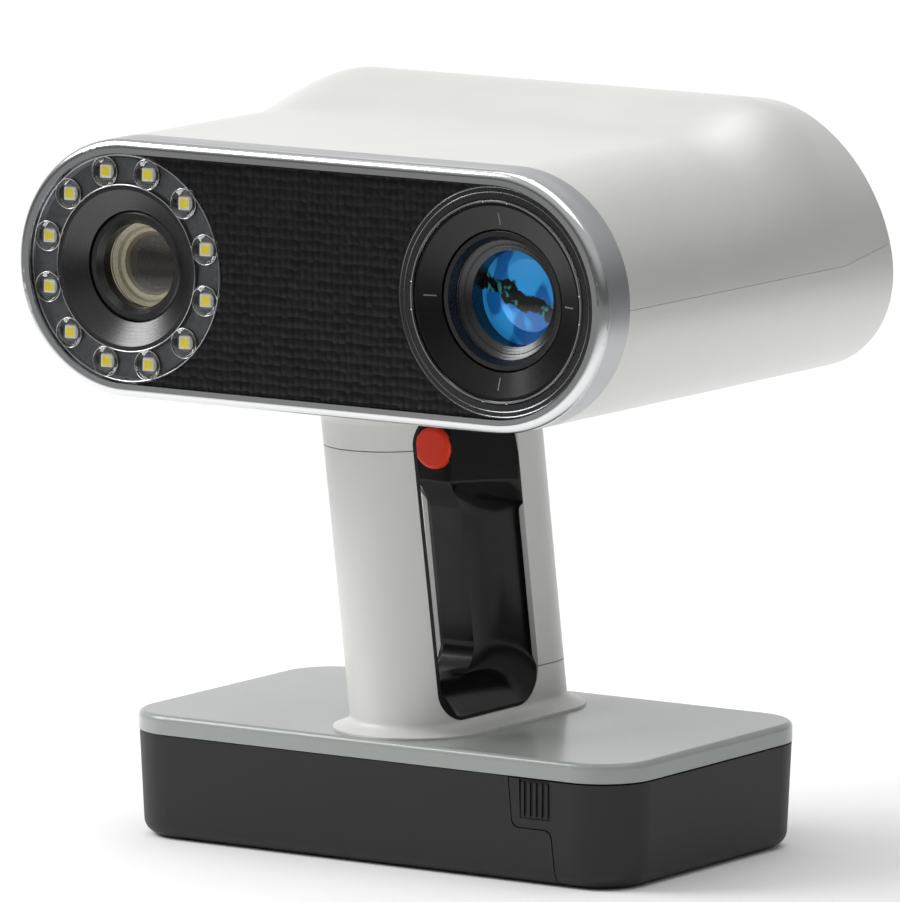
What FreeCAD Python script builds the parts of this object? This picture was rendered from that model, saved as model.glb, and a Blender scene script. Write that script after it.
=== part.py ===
"""Handheld 3-D scanner: a stadium-shaped head on a loop handle and a battery base.

Frame: X to the user's right, Y from the lenses towards the user, Z up.
The origin is the centre of the face the scanner stands on.  Sizes are in millimetres.
"""
import FreeCAD, Part
import math
import os
import re

import Sketcher
from FreeCAD import Placement, Rotation, Vector

SIZES = (
    # head
    ("head_width", 216.0), ("head_radius", 39.9), ("head_wall", 2.6),
    ("front_reach", 86.5), ("rear_reach", 75.85), ("rear_tilt", 15.0),
    ("top_rise", 9.0), ("top_fall", 0.14), ("rise_start", 88.0), ("rise_length", 48.0),
    ("seam_drop", 1.0), ("seam_climb", 4.3), ("seam_climb_start", 135.0), ("head_seam_gap", 0.12),
    # front ring and panel
    ("bezel_depth", 14.2), ("bezel_wall", 4.3), ("lip_round", 2.6), ("ledge_width", 1.6),
    ("ledge_depth", 4.2), ("flange_width", 4.1), ("flange_depth", 8.0),
    ("panel_recess", 1.7), ("panel_thick", 2.3), ("fit_gap", 0.15),
    # light ring and camera on the left
    ("ring_inner", 25.4), ("ring_thick", 1.2), ("ring_recess", 1.7), ("led_circle", 30.3),
    ("led_dome", 4.7), ("led_dome_rise", 1.5), ("led_board_depth", 3.6), ("led_board_thick", 1.2),
    ("led_chip", 3.4), ("led_chip_thick", 0.7), ("camera_barrel", 17.2), ("camera_bore", 13.1),
    ("camera_length", 44.0), ("camera_front", 6.4), ("camera_glass_depth", 10.0),
    ("camera_glass_thick", 4.2), ("iris_depth", 19.0), ("iris_radius", 7.0), ("iris_thick", 1.2),
    ("sensor_size", 17.0), ("sensor_board", 40.0), ("hood_wall", 1.2),
    # projector on the right
    ("shroud_inner", 31.2), ("trim_outer", 31.0), ("trim_inner", 30.1), ("trim_proud", 0.6),
    ("trim_edge", 0.25), ("cone_rim", 29.9), ("cone_depth", 3.0), ("projector_barrel", 21.6),
    ("projector_step", 19.6), ("projector_bore", 14.7), ("projector_length", 56.0),
    ("projector_glass_depth", 12.7), ("projector_glass_thick", 5.0),
    ("engine_size", 46.0), ("engine_length", 34.0), ("sink_base", 3.0), ("sink_height", 15.0),
    ("fin_pitch", 5.0), ("fin_thick", 1.4),
    # bench, boards and fan inside the head
    ("bench_thick", 4.0), ("board_thick", 1.6), ("main_board_width", 84.0),
    ("main_board_height", 56.0), ("main_board_depth", 128.0), ("processor_size", 24.0),
    ("processor_thick", 2.2), ("fan_size", 40.0), ("fan_depth", 10.0), ("fan_gap", 0.6),
    ("hub_radius", 9.0), ("blade_count", 7.0), ("speaker_radius", 10.0), ("speaker_thick", 4.0),
    # screen at the back
    ("cover_thick", 7.0), ("cover_recess", 0.8), ("glass_width", 150.0), ("glass_height", 60.0),
    ("glass_corner", 5.0), ("glass_thick", 1.2), ("display_width", 138.0), ("display_height", 54.0), ("display_thick", 3.0),
    ("key_radius", 4.0), ("key_length", 5.4), ("key_proud", 0.7), ("key_travel", 0.8),
    # handle
    ("handle_height", 104.1), ("handle_width", 38.0), ("handle_depth", 90.7),
    ("handle_front", 38.6), ("handle_lean", 9.3), ("handle_wall", 2.6),
    ("post_foot", 10.2), ("post_head", 9.6), ("strip_depth", 27.6), ("window_floor", 4.1),
    ("window_top", 1.8), ("window_corner", 11.0), ("window_shoulder", 9.0), ("liner_thick", 1.2),
    ("nose_offset", 48.2), ("nose_half", 5.7), ("nose_drop", 37.6), ("nose_bend", 8.0),
    ("grip_crown", 9.2), ("block_depth", 18.2), ("block_wall", 0.5), ("block_drop", 29.0),
    ("block_edge", 1.4),
    ("post_seam_drop", 13.6), ("strip_seam", 15.1), ("handle_seam_gap", 0.3),
    ("foot_grow", 5.6), ("foot_height", 4.6), ("foot_lip", 0.7),
    ("collar_grow", 3.2), ("collar_height", 6.0), ("core_width", 22.0), ("core_depth", 10.0),
    ("core_wall", 2.0), ("core_offset", 72.0), ("loom_radius", 2.0), ("loom_offset", 69.2),
    # trigger
    ("trigger_drop", 18.4), ("trigger_radius", 6.6), ("trigger_fit", 0.2),
    ("trigger_proud", 1.6), ("trigger_travel", 2.0), ("trigger_guide", 5.0),
    ("trigger_shoulder", 1.1), ("trigger_flange_thick", 1.5), ("switch_depth", 14.0),
    ("switch_width", 11.0), ("switch_height", 6.4), ("switch_length", 5.8),
    ("spring_wire", 0.3), ("spring_turns", 5.0), ("trigger_spring_radius", 4.8),
    # base
    ("base_width", 187.0), ("base_depth", 110.7), ("base_corner", 18.0),
    ("plate_thick", 6.0), ("plate_round", 1.8), ("shadow_gap", 0.3), ("shadow_inset", 0.2),
    ("base_draft", 1.6), ("base_wall", 2.5), ("base_floor", 3.0), ("base_round", 5.0),
    ("foot_proud", 0.4), ("foot_radius", 7.0), ("foot_thick", 2.4), ("foot_inset", 16.0),
    ("foot_left", 63.5), ("foot_right", 33.5),
    # battery
    ("cap_top_x", 52.3), ("cap_step_x", 67.6), ("cap_ledge", 4.0), ("cap_slope", 1.3),
    ("cap_corner", 2.6), ("cap_gap", 0.35), ("cap_wall", 3.0), ("case_ends", 2.1),
    ("case_right", 72.0), ("case_depth", 84.0), ("case_wall", 1.5), ("case_room", 3.0),
    ("case_lift", 1.2), ("cell_radius", 10.5), ("cell_length", 70.0), ("cell_count", 6.0),
    ("cell_gap", 0.8), ("latch_width", 10.8), ("latch_height", 11.8),
    ("latch_thick", 3.0), ("latch_x", 62.3), ("latch_gap", 0.15), ("latch_travel", 1.5),
    ("latch_spring_room", 4.5), ("rib_count", 5.0), ("rib_width", 1.0), ("rib_proud", 0.7),
    ("latch_spring_radius", 2.6),
    # fasteners
    ("screw_radius", 1.5), ("screw_head", 2.8), ("screw_head_thick", 1.8), ("boss_radius", 3.6),
    ("tap_radius", 1.25),
)

doc = FreeCAD.newDocument("handheld_scanner")
dims = doc.addObject("Spreadsheet::Sheet", "dims")
for row, (alias, size) in enumerate(SIZES, 1):
    dims.set(f"A{row}", alias)
    dims.set(f"B{row}", str(size))
    dims.setAlias(f"B{row}", alias)
doc.recompute()

ALIASES = {alias for alias, _ in SIZES}
NODES = []

# Sizes that follow from the driving ones.
DERIVED = {
    "cell_pitch": "(2 * cell_radius + cell_gap)",
    "case_height": "(2 * (cell_radius + cell_gap + case_wall))",
    "case_left": "(cell_count * cell_pitch + 2 * (case_wall + case_ends) - case_right)",
    "base_height": "(foot_proud + base_floor + case_lift + case_height + case_room"
                   " + shadow_gap + plate_thick)",
    "cap_step_z": "(base_height - plate_thick - shadow_gap - latch_height - cap_ledge)",
    "block_floor": "(handle_height - block_drop)",
    "nose_top": "(handle_height - nose_drop)",
    "post_seam": "(handle_height - post_seam_drop)",
    "trigger_rise": "(handle_height - trigger_drop)",
    "block_half": "(trigger_radius + trigger_fit + block_wall)",
    "trigger_flange": "(trigger_radius + trigger_shoulder)",
    "latch_pocket": "(latch_thick + latch_travel + latch_spring_room)",
}
NAME = r"[a-z_][a-z_0-9]*"


def spelled(text):
    """An expression with its derived sizes written out in driving ones."""
    found = re.sub(NAME, lambda m: DERIVED.get(m[0], m[0]), str(text))
    return found if found == str(text) else spelled(found)


def bound(text):
    """An expression over the sheet's aliases, as another object of the document names them."""
    return re.sub(NAME, lambda m: f"dims.{m[0]}" if m[0] in ALIASES else m[0], spelled(text))


def val(text):
    """The value of an expression over the sheet's aliases."""
    found = dims.evalExpression(spelled(text))
    return float(getattr(found, "Value", found))


def bind(obj, **expressions):
    """Binds properties to expressions; a double underscore stands for a dot."""
    for prop, text in expressions.items():
        obj.setExpression(prop.replace("__", "."), bound(str(text)))


def node(obj, label):
    """Names an object of the document as one separate piece of the scanner."""
    obj.Label = label
    NODES.append(obj)
    return obj


# Places that several pieces share, worked out from the sheet.
HEAD_Z = "(base_height + handle_height + head_radius)"
LENS_X = "(head_width / 2 - head_radius)"
MOUTH = "(head_radius - bezel_wall)"
LEDGE = "(head_radius - bezel_wall - ledge_width)"
FLANGE = "(head_radius - bezel_wall - flange_width)"
PLATE_BOTTOM = "(base_height - plate_thick)"
HOUSING_TOP = "(base_height - plate_thick - shadow_gap)"
CASE_Z = "(foot_proud + base_floor + case_lift)"
LATCH_Y = "(base_depth / 2 - shadow_inset - base_draft / 2)"


def deep(depth):
    """Y of a place that far behind the front lip."""
    return f"({depth} - front_reach)"


def box(x, y, z, length, width, height):
    """A Part::Box from its low corner and its three sizes."""
    piece = doc.addObject("Part::Box", "box")
    bind(piece, Length=length, Width=width, Height=height,
         Placement__Base__x=x, Placement__Base__y=y, Placement__Base__z=z)
    return piece


def rod(x, y, z, radius, length, along="y"):
    """A Part::Cylinder from the middle of one end, along +X, +Y or +Z."""
    piece = doc.addObject("Part::Cylinder", "rod")
    turn = {"x": Rotation(Vector(0, 1, 0), 90), "y": Rotation(Vector(1, 0, 0), -90),
            "z": Rotation()}[along]
    piece.Placement = Placement(Vector(), turn)
    bind(piece, Radius=radius, Height=length,
         Placement__Base__x=x, Placement__Base__y=y, Placement__Base__z=z)
    return piece


def fused(*pieces):
    if len(pieces) == 1:
        return pieces[0]
    whole = doc.addObject("Part::MultiFuse", "fused")
    whole.Shapes = list(pieces)
    return whole


def cut(base, *tools):
    """The base with all the tools taken away."""
    rest = doc.addObject("Part::Cut", "cut")
    rest.Base = base
    rest.Tool = fused(*tools)
    return rest


def group(*pieces):
    """Separate solids of one kind in one node."""
    several = doc.addObject("Part::Compound", "group")
    several.Links = list(pieces)
    return several


def shaped(shape):
    """A Part::Feature with a shape made in code from the sheet's sizes."""
    piece = doc.addObject("Part::Feature", "shaped")
    piece.Shape = shape
    return piece


def new_body():
    body = doc.addObject("PartDesign::Body", "body")
    doc.recompute()
    return body


def new_sketch(body, plane):
    sketch = body.newObject("Sketcher::SketchObject", "sketch")
    origin = next(f for f in body.Origin.OriginFeatures if f.Role == plane)
    sketch.AttachmentSupport = [(origin, "")]
    sketch.MapMode = "FlatFace"
    return sketch


def constrain(sketch, kind, *refs, to=None):
    """Adds a constraint, bound to an expression where it has a size."""
    if to is None:
        return sketch.addConstraint(Sketcher.Constraint(kind, *refs))
    index = sketch.addConstraint(Sketcher.Constraint(kind, *refs, val(to)))
    sketch.setExpression(f"Constraints[{index}]", bound(str(to)))
    return index


def polygon(sketch, points):
    """A closed outline of straight lines through points given as expressions."""
    spots = [Vector(val(u), val(v), 0) for u, v in points]
    count = len(spots)
    for i in range(count):
        sketch.addGeometry(Part.LineSegment(spots[i], spots[(i + 1) % count]), False)
    for i in range(count):
        constrain(sketch, "Coincident", i, 2, (i + 1) % count, 1)
    for i, (u, v) in enumerate(points):
        constrain(sketch, "DistanceX", -1, 1, i, 1, to=u)
        constrain(sketch, "DistanceY", -1, 1, i, 1, to=v)


def stadium(sketch, half, middle, radius):
    """Two half circles joined by two level lines; half is from the middle to a centre."""
    c, v, r = val(half), val(middle), val(radius)
    quarter = math.pi / 2
    up = Vector(0, 0, 1)
    sketch.addGeometry(Part.LineSegment(Vector(-c, v + r, 0), Vector(c, v + r, 0)), False)
    right = Part.Circle(Vector(c, v, 0), up, r)
    sketch.addGeometry(Part.ArcOfCircle(right, -quarter, quarter), False)
    sketch.addGeometry(Part.LineSegment(Vector(c, v - r, 0), Vector(-c, v - r, 0)), False)
    left = Part.Circle(Vector(-c, v, 0), up, r)
    sketch.addGeometry(Part.ArcOfCircle(left, quarter, 3 * quarter), False)
    for first, second in (((0, 2), (1, 2)), ((1, 1), (2, 1)), ((2, 2), (3, 2)), ((3, 1), (0, 1))):
        constrain(sketch, "Tangent", *first, *second)
    constrain(sketch, "Horizontal", 0)
    constrain(sketch, "Horizontal", 2)
    constrain(sketch, "Radius", 1, to=radius)
    constrain(sketch, "DistanceX", -1, 1, 1, 3, to=half)
    constrain(sketch, "DistanceX", 3, 3, -1, 1, to=half)
    constrain(sketch, "DistanceY", -1, 1, 1, 3, to=middle)


def rounded_rectangle(sketch, half_u, half_v, radius):
    """A rectangle about the sketch's origin with four round corners."""
    a, b, r = val(half_u), val(half_v), val(radius)
    quarter = math.pi / 2
    ends = (((-a + r, b), (a - r, b)), ((a, b - r), (a, -b + r)),
            ((a - r, -b), (-a + r, -b)), ((-a, -b + r), (-a, b - r)))
    centres = ((a - r, b - r, 0), (a - r, -b + r, -1), (-a + r, -b + r, 2), (-a + r, b - r, 1))
    for (start, end), (u, v, turn) in zip(ends, centres):
        sketch.addGeometry(Part.LineSegment(Vector(*start, 0), Vector(*end, 0)), False)
        circle = Part.Circle(Vector(u, v, 0), Vector(0, 0, 1), r)
        sketch.addGeometry(Part.ArcOfCircle(circle, turn * quarter, (turn + 1) * quarter), False)
    for i in range(4):
        constrain(sketch, "Tangent", 2 * i, 2, 2 * i + 1, 2)
        constrain(sketch, "Tangent", 2 * i + 1, 1, (2 * i + 2) % 8, 1)
        constrain(sketch, "Vertical" if i % 2 else "Horizontal", 2 * i)
    constrain(sketch, "Radius", 1, to=radius)
    for i in (3, 5, 7):
        constrain(sketch, "Equal", 1, i)
    constrain(sketch, "DistanceY", -1, 1, 0, 1, to=half_v)
    constrain(sketch, "DistanceX", -1, 1, 2, 1, to=half_u)
    constrain(sketch, "DistanceY", 4, 1, -1, 1, to=half_v)
    constrain(sketch, "DistanceX", 6, 1, -1, 1, to=half_u)


def turned(x, z, profile):
    """A body turned about an axis along Y at (x, z), from (y, radius) points."""
    body = new_body()
    sketch = new_sketch(body, "YZ_Plane")
    bind(sketch, AttachmentOffset__Base__z=x, AttachmentOffset__Base__y=z)
    polygon(sketch, profile)
    solid = body.newObject("PartDesign::Revolution", "turned")
    solid.Profile = sketch
    solid.ReferenceAxis = (sketch, ["H_Axis"])
    solid.Angle = 360
    return body


def head_plate(radius, start, end):
    """A body with the head's stadium outline at that radius, between two depths."""
    body = new_body()
    sketch = new_sketch(body, "XZ_Plane")
    bind(sketch, AttachmentOffset__Base__z=f"front_reach - ({start})")
    stadium(sketch, LENS_X, HEAD_Z, radius)
    solid = body.newObject("PartDesign::Pad", "pad")
    solid.Profile = sketch
    solid.Reversed = True
    bind(solid, Length=f"({end}) - ({start})")
    return body


def lens(x, front, radius, thick, bulge):
    """Glass with a ball-shaped front of radius bulge and a flat back."""
    ball = doc.addObject("Part::Sphere", "ball")
    bind(ball, Radius=bulge, Placement__Base__x=x, Placement__Base__z=HEAD_Z,
         Placement__Base__y=deep(f"{front} + {bulge}"))
    glass = doc.addObject("Part::MultiCommon", "glass")
    glass.Shapes = [rod(x, deep(front), HEAD_Z, radius, thick), ball]
    return glass


def rounded_wire(corners, radii):
    """A closed wire through 3-D corners, each rounded by its own radius."""
    edges = []
    count = len(corners)
    spots = []
    for i, corner in enumerate(corners):
        to_last = (corners[i - 1] - corner).normalize()
        to_next = (corners[(i + 1) % count] - corner).normalize()
        half = to_last.getAngle(to_next) / 2
        if radii[i] <= 0:
            spots.append((corner, None, corner))
            continue
        run = radii[i] / math.tan(half)
        middle = (to_last + to_next).normalize() * (radii[i] / math.sin(half) - radii[i])
        spots.append((corner + to_last * run, corner + middle, corner + to_next * run))
    for i, (start, middle, end) in enumerate(spots):
        if middle is not None:
            edges.append(Part.Arc(start, middle, end).toShape())
        following = spots[(i + 1) % count][0]
        if (following - end).Length > 1e-6:
            edges.append(Part.LineSegment(end, following).toShape())
    return Part.Wire(edges)


def side_prism(corners, radii, half_width):
    """A prism across X from (y, z) corners."""
    wire = rounded_wire([Vector(-half_width, y, z) for y, z in corners], radii)
    return Part.Face(wire).extrude(Vector(2 * half_width, 0, 0))


def screw(x, y, z, length, up=True):
    """A pan-head screw along Z; z is under its head, which is the low end when up."""
    shank = rod(x, y, z if up else f"{z} - ({length})", "screw_radius", length, "z")
    head_z = f"{z} - screw_head_thick" if up else z
    head = rod(x, y, head_z, "screw_head", "screw_head_thick", "z")
    socket_z = f"{z} - screw_head_thick" if up else f"{z} + screw_head_thick / 2"
    socket = rod(x, y, socket_z, "screw_radius * 0.7", "screw_head_thick / 2", "z")
    return cut(fused(shank, head), socket)


def coil(radius, wire, length, turns):
    """A helical spring along +Z from the origin, its ends within the length."""
    rise = length - 2 * wire
    path = Part.makeHelix(rise / turns, rise, radius)
    path.translate(Vector(0, 0, wire))
    start = path.Vertexes[0].Point
    circle = Part.Wire(Part.makeCircle(wire, start, Vector(0, 1, 0)))
    return Part.Wire(path).makePipeShell([circle], True, True)


# ---------------------------------------------------------------- front ring and panel
def make_front():
    bezel = new_body()
    for name, radius, start, end in (
            ("PartDesign::Pad", "head_radius", "0", "bezel_depth"),
            ("PartDesign::Pocket", MOUTH, "0", "ledge_depth"),
            ("PartDesign::Pocket", LEDGE, "ledge_depth", "flange_depth"),
            ("PartDesign::Pocket", FLANGE, "flange_depth", "bezel_depth")):
        sketch = new_sketch(bezel, "XZ_Plane")
        bind(sketch, AttachmentOffset__Base__z=f"front_reach - ({start})")
        stadium(sketch, LENS_X, HEAD_Z, radius)
        step = bezel.newObject(name, "step")
        step.Profile = sketch
        step.Reversed = name.endswith("Pad")
        bind(step, Length=f"({end}) - ({start})")
    doc.recompute()
    front_edges = []
    for index, edge in enumerate(bezel.Shape.Edges, 1):
        bounds = edge.BoundBox
        outside = bounds.ZMax > val(f"{HEAD_Z} + {MOUTH}") + 1 or bounds.ZMin < val(
            f"{HEAD_Z} - {MOUTH}") - 1
        if outside and abs(bounds.YMax - val("-front_reach")) < 1e-6:
            front_edges.append(f"Edge{index}")
    lip = bezel.newObject("PartDesign::Fillet", "lip")
    lip.Base = (step, front_edges)
    bind(lip, Radius="lip_round")
    holes = [rod(x, deep("bezel_depth - 5"), z, "tap_radius", "6") for x, z in bench_screw_spots()]
    node(cut(bezel, *holes), "front_bezel")

    outline = head_plate(f"{MOUTH} - fit_gap", "panel_recess", "panel_recess + panel_thick")
    ends = [rod(f"{side} * {LENS_X}", deep("panel_recess - 1"), HEAD_Z, MOUTH, "panel_thick + 2")
            for side in (-1, 1)]
    node(cut(outline, *ends), "front_panel")


def bench_screw_spots():
    """Where the six bench screws stand: three above and three below the middle."""
    middle = "(head_radius - bezel_wall - flange_width / 2 + 0.6)"
    return [(f"{across} * {LENS_X}", f"{HEAD_Z} + {side} * {middle}")
            for side in (-1, 1) for across in (-1, 0, 1)]


# ---------------------------------------------------------------- light ring and camera
def make_camera():
    x = f"-1 * {LENS_X}"
    rim = f"{MOUTH} - fit_gap"
    ring = turned(x, HEAD_Z, (
        (deep("ring_recess"), "ring_inner + fit_gap"), (deep("ring_recess"), rim),
        (deep("ring_recess + ring_thick"), rim),
        (deep("ring_recess + ring_thick"), "ring_inner + fit_gap")))
    domes, chips = [], []
    for i in range(12):
        turn = f"{15 + 30 * i}"
        place = (f"{x} + led_circle * cos({turn})", f"{HEAD_Z} + led_circle * sin({turn})")
        ball = doc.addObject("Part::Sphere", "ball")
        bulge = "((led_dome ^ 2 + led_dome_rise ^ 2) / (2 * led_dome_rise))"
        bind(ball, Radius=bulge, Placement__Base__x=place[0], Placement__Base__z=place[1],
             Placement__Base__y=deep(f"ring_recess - led_dome_rise + {bulge}"))
        dome = doc.addObject("Part::MultiCommon", "dome")
        length = "led_dome_rise + ring_thick / 2"
        dome.Shapes = [ball, rod(place[0], deep("ring_recess - led_dome_rise"), place[1],
                                 "led_dome", length)]
        domes.append(dome)
        chips.append(box(f"{place[0]} - led_chip / 2", deep("led_board_depth - led_chip_thick"),
                         f"{place[1]} - led_chip / 2", "led_chip", "led_chip_thick", "led_chip"))
    node(fused(ring, *domes), "led_ring_lens")
    node(group(*chips), "led_chips")
    node(turned(x, HEAD_Z, (
        (deep("led_board_depth"), "ring_inner + 1"), (deep("led_board_depth"), f"{LEDGE} - fit_gap"),
        (deep("led_board_depth + led_board_thick"), f"{LEDGE} - fit_gap"),
        (deep("led_board_depth + led_board_thick"), "ring_inner + 1"))), "led_board")
    throat = "camera_barrel + fit_gap"
    node(turned(x, HEAD_Z, (
        (deep("panel_recess"), "ring_inner"), (deep("panel_recess"), "ring_inner - hood_wall"),
        (deep("camera_front"), throat), (deep("camera_front + 3"), throat),
        (deep("camera_front + 3"), f"{throat} + hood_wall"),
        (deep("camera_front + 0.4"), f"{throat} + hood_wall"),
        (deep("panel_recess + 1.8"), "ring_inner"))), "camera_hood")
    back = "camera_front + camera_length"
    node(turned(x, HEAD_Z, (
        (deep("camera_front"), "camera_barrel - 1"), (deep("camera_front + 0.8"), "camera_barrel"),
        (deep(back), "camera_barrel"), (deep(back), "camera_bore"),
        (deep("camera_front + 2.2"), "camera_bore"),
        (deep("camera_front"), "camera_bore + 1.6"))), "camera_lens_barrel")
    glass = "camera_bore - 0.05"
    node(lens(x, "camera_glass_depth", glass, "camera_glass_thick", "46"), "camera_front_lens")
    node(turned(x, HEAD_Z, (
        (deep("iris_depth"), "iris_radius"), (deep("iris_depth"), glass),
        (deep("iris_depth + iris_thick"), glass),
        (deep("iris_depth + iris_thick"), "iris_radius"))), "camera_iris")
    node(lens(x, "iris_depth + 6", glass, "camera_glass_thick + 1", "38"), "camera_rear_lens")
    node(box(f"{x} - sensor_board / 2", deep(f"{back} + 1.4"), f"{HEAD_Z} - sensor_board / 2",
             "sensor_board", "board_thick", "sensor_board"), "camera_board")
    node(box(f"{x} - sensor_size / 2", deep(f"{back} - 0.4"), f"{HEAD_Z} - sensor_size / 2",
             "sensor_size", "1.8", "sensor_size"), "camera_sensor")


# ---------------------------------------------------------------- projector
def make_projector():
    x = LENS_X
    rim = f"{MOUTH} - fit_gap"
    node(turned(x, HEAD_Z, (
        (deep("panel_recess"), "shroud_inner"), (deep("panel_recess"), rim),
        (deep("panel_recess + panel_thick"), rim),
        (deep("panel_recess + panel_thick"), f"{LEDGE} - fit_gap"),
        (deep("flange_depth - 1"), f"{LEDGE} - fit_gap"),
        (deep("flange_depth - 1"), "shroud_inner"))), "projector_shroud")
    trim = turned(x, HEAD_Z, (
        (deep("panel_recess - trim_proud"), "trim_inner + trim_edge"),
        (deep("panel_recess - trim_proud"), "trim_outer - trim_edge"),
        (deep("panel_recess"), "trim_outer"), (deep("flange_depth - 2"), "trim_outer"),
        (deep("flange_depth - 2"), "trim_inner"), (deep("panel_recess"), "trim_inner")))
    node(trim, "projector_trim_ring")
    mouth = "panel_recess + cone_depth"
    cone = turned(x, HEAD_Z, (
        (deep("panel_recess + 0.3"), "cone_rim"), (deep("panel_recess + 0.3"), "cone_rim - 0.8"),
        (deep(mouth), "projector_barrel + fit_gap"), (deep(f"{mouth} + 4"), "projector_barrel + fit_gap"),
        (deep(f"{mouth} + 4"), "projector_barrel + fit_gap + hood_wall"),
        (deep(f"{mouth} + hood_wall"), "projector_barrel + fit_gap + hood_wall"),
        (deep("panel_recess + 2"), "cone_rim")))
    node(cone, "projector_cone")
    back = f"{mouth} + projector_length"
    node(turned(x, HEAD_Z, (
        (deep(f"{mouth} + 0.2"), "projector_step"), (deep(f"{mouth} + 0.2"), "projector_barrel - 0.6"),
        (deep(f"{mouth} + 0.8"), "projector_barrel"), (deep(back), "projector_barrel"),
        (deep(back), "projector_bore"), (deep("projector_glass_depth - 2"), "projector_bore"),
        (deep("projector_glass_depth - 4"), "projector_step - 1.4"))), "projector_lens_barrel")
    glass = "projector_bore - 0.05"
    node(lens(x, "projector_glass_depth", glass, "projector_glass_thick", "32"), "projector_front_lens")
    node(lens(x, "projector_glass_depth + 16", glass, "projector_glass_thick", "40"),
         "projector_middle_lens")
    node(lens(x, "projector_glass_depth + 30", glass, "projector_glass_thick", "60"),
         "projector_rear_lens")
    engine = f"{back} + 0.5"
    node(box(f"{x} - engine_size / 2", deep(engine), f"{HEAD_Z} - engine_size / 2",
             "engine_size", "engine_length", "engine_size"), "projector_light_engine")
    sink = f"{engine} + engine_length + 0.2"
    base = box(f"{x} - engine_size / 2", deep(sink), f"{HEAD_Z} - engine_size / 2",
               "engine_size", "sink_base", "engine_size")
    count = int(val("floor((engine_size - fin_thick) / fin_pitch)"))
    fins = [box(f"{x} - engine_size / 2 + {i} * (engine_size - fin_thick) / {count}",
                deep(f"{sink} + sink_base - 0.5"), f"{HEAD_Z} - engine_size / 2",
                "fin_thick", "sink_height", "engine_size") for i in range(count + 1)]
    node(fused(base, *fins), "projector_heat_sink")


# ---------------------------------------------------------------- bench, boards and fan
def make_inside():
    plate = head_plate("head_radius - head_wall - 0.3", "bezel_depth + 0.2",
                       "bezel_depth + 0.2 + bench_thick")
    front = deep("bezel_depth - 1")
    tools = [rod(f"-1 * {LENS_X}", front, HEAD_Z, "camera_barrel + fit_gap", "bench_thick + 3"),
             rod(LENS_X, front, HEAD_Z, "projector_barrel + fit_gap", "bench_thick + 3"),
             box(f"-0.4 * {LENS_X}", front, f"{HEAD_Z} - head_radius / 2", f"0.8 * {LENS_X}",
                 "bench_thick + 3", "head_radius")]
    tools += [rod(x, front, z, "screw_radius + 0.1", "bench_thick + 3")
              for x, z in bench_screw_spots()]
    node(cut(plate, *tools), "optical_bench")
    screws = []
    for x, z in bench_screw_spots():
        shank = rod(x, deep("bezel_depth - 4.6"), z, "tap_radius", "bench_thick + 4.8")
        head = rod(x, deep("bezel_depth + 0.2 + bench_thick"), z, "screw_head", "screw_head_thick")
        screws.append(fused(shank, head))
    node(group(*screws), "bench_screws")
    node(box("-main_board_width / 2", deep("main_board_depth"), f"{HEAD_Z} - main_board_height / 2",
             "main_board_width", "board_thick", "main_board_height"), "main_board")
    chip_y = deep("main_board_depth - processor_thick")
    node(box("-processor_size / 2", chip_y, f"{HEAD_Z} - processor_size / 2", "processor_size",
             "processor_thick", "processor_size"), "processor")
    sink_y = deep("main_board_depth - processor_thick - sink_base")
    base = box("-fan_size / 2", sink_y, f"{HEAD_Z} - fan_size / 2", "fan_size", "sink_base", "fan_size")
    count = int(val("floor((fan_size - fin_thick) / fin_pitch)"))
    fins = [box(f"-fan_size / 2 + {i} * (fan_size - fin_thick) / {count}",
                deep("main_board_depth - processor_thick - sink_base - sink_height + 0.5"),
                f"{HEAD_Z} - fan_size / 2", "fin_thick", "sink_height", "fan_size")
            for i in range(count + 1)]
    node(fused(base, *fins), "processor_heat_sink")
    fan_y = "main_board_depth - processor_thick - sink_base - sink_height - fan_depth"
    frame = box("-fan_size / 2", deep(fan_y), f"{HEAD_Z} - fan_size / 2",
                "fan_size", "fan_depth", "fan_size")
    hole = rod("0", deep(f"{fan_y} - 1"), HEAD_Z, "fan_size / 2 - 1.5", "fan_depth + 2")
    spider = [rod("0", deep(f"{fan_y} + fan_depth - 1.5"), HEAD_Z, "hub_radius", "1.5"),
              box("-fan_size / 2 + 0.5", deep(f"{fan_y} + fan_depth - 1.5"), f"{HEAD_Z} - 1",
                  "fan_size - 1", "1.5", "2"),
              box("-1", deep(f"{fan_y} + fan_depth - 1.5"), f"{HEAD_Z} - fan_size / 2 + 0.5",
                  "2", "1.5", "fan_size - 1")]
    node(fused(cut(frame, hole), *spider), "fan_frame")
    hub = rod("0", deep(f"{fan_y} + 0.8"), HEAD_Z, "hub_radius", "fan_depth - 2.9")
    blades = []
    count = int(val("blade_count"))
    for i in range(count):
        blade = box("0", deep(f"{fan_y} + 1.2"), HEAD_Z, "fan_size / 2 - 1.5 - fan_gap", "5.6", "1.2")
        blade.Placement = Placement(Vector(0, val(deep(f"{fan_y} + 1.2")), val(HEAD_Z)),
                                    Rotation(Vector(0, 1, 0), 360 * i / count))
        blades.append(blade)
    node(fused(hub, *blades), "fan_rotor")
    node(rod("-main_board_width / 2 + speaker_radius", deep("main_board_depth - 6"),
             f"{HEAD_Z} - 14", "speaker_radius", "speaker_thick"), "speaker")


# ---------------------------------------------------------------- head shells and screen
def top_z(depth):
    """Height of the head's top above the lens centres, at a depth behind the lip."""
    radius, start, length = val("head_radius"), val("rise_start"), val("rise_length")
    t = (depth - start) / length
    smooth = min(max(t, 0.0), 1.0)
    rise = val("top_rise") * smooth * smooth * (3 - 2 * smooth)
    return radius + rise - val("top_fall") * max(0.0, depth - start - length)


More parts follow.
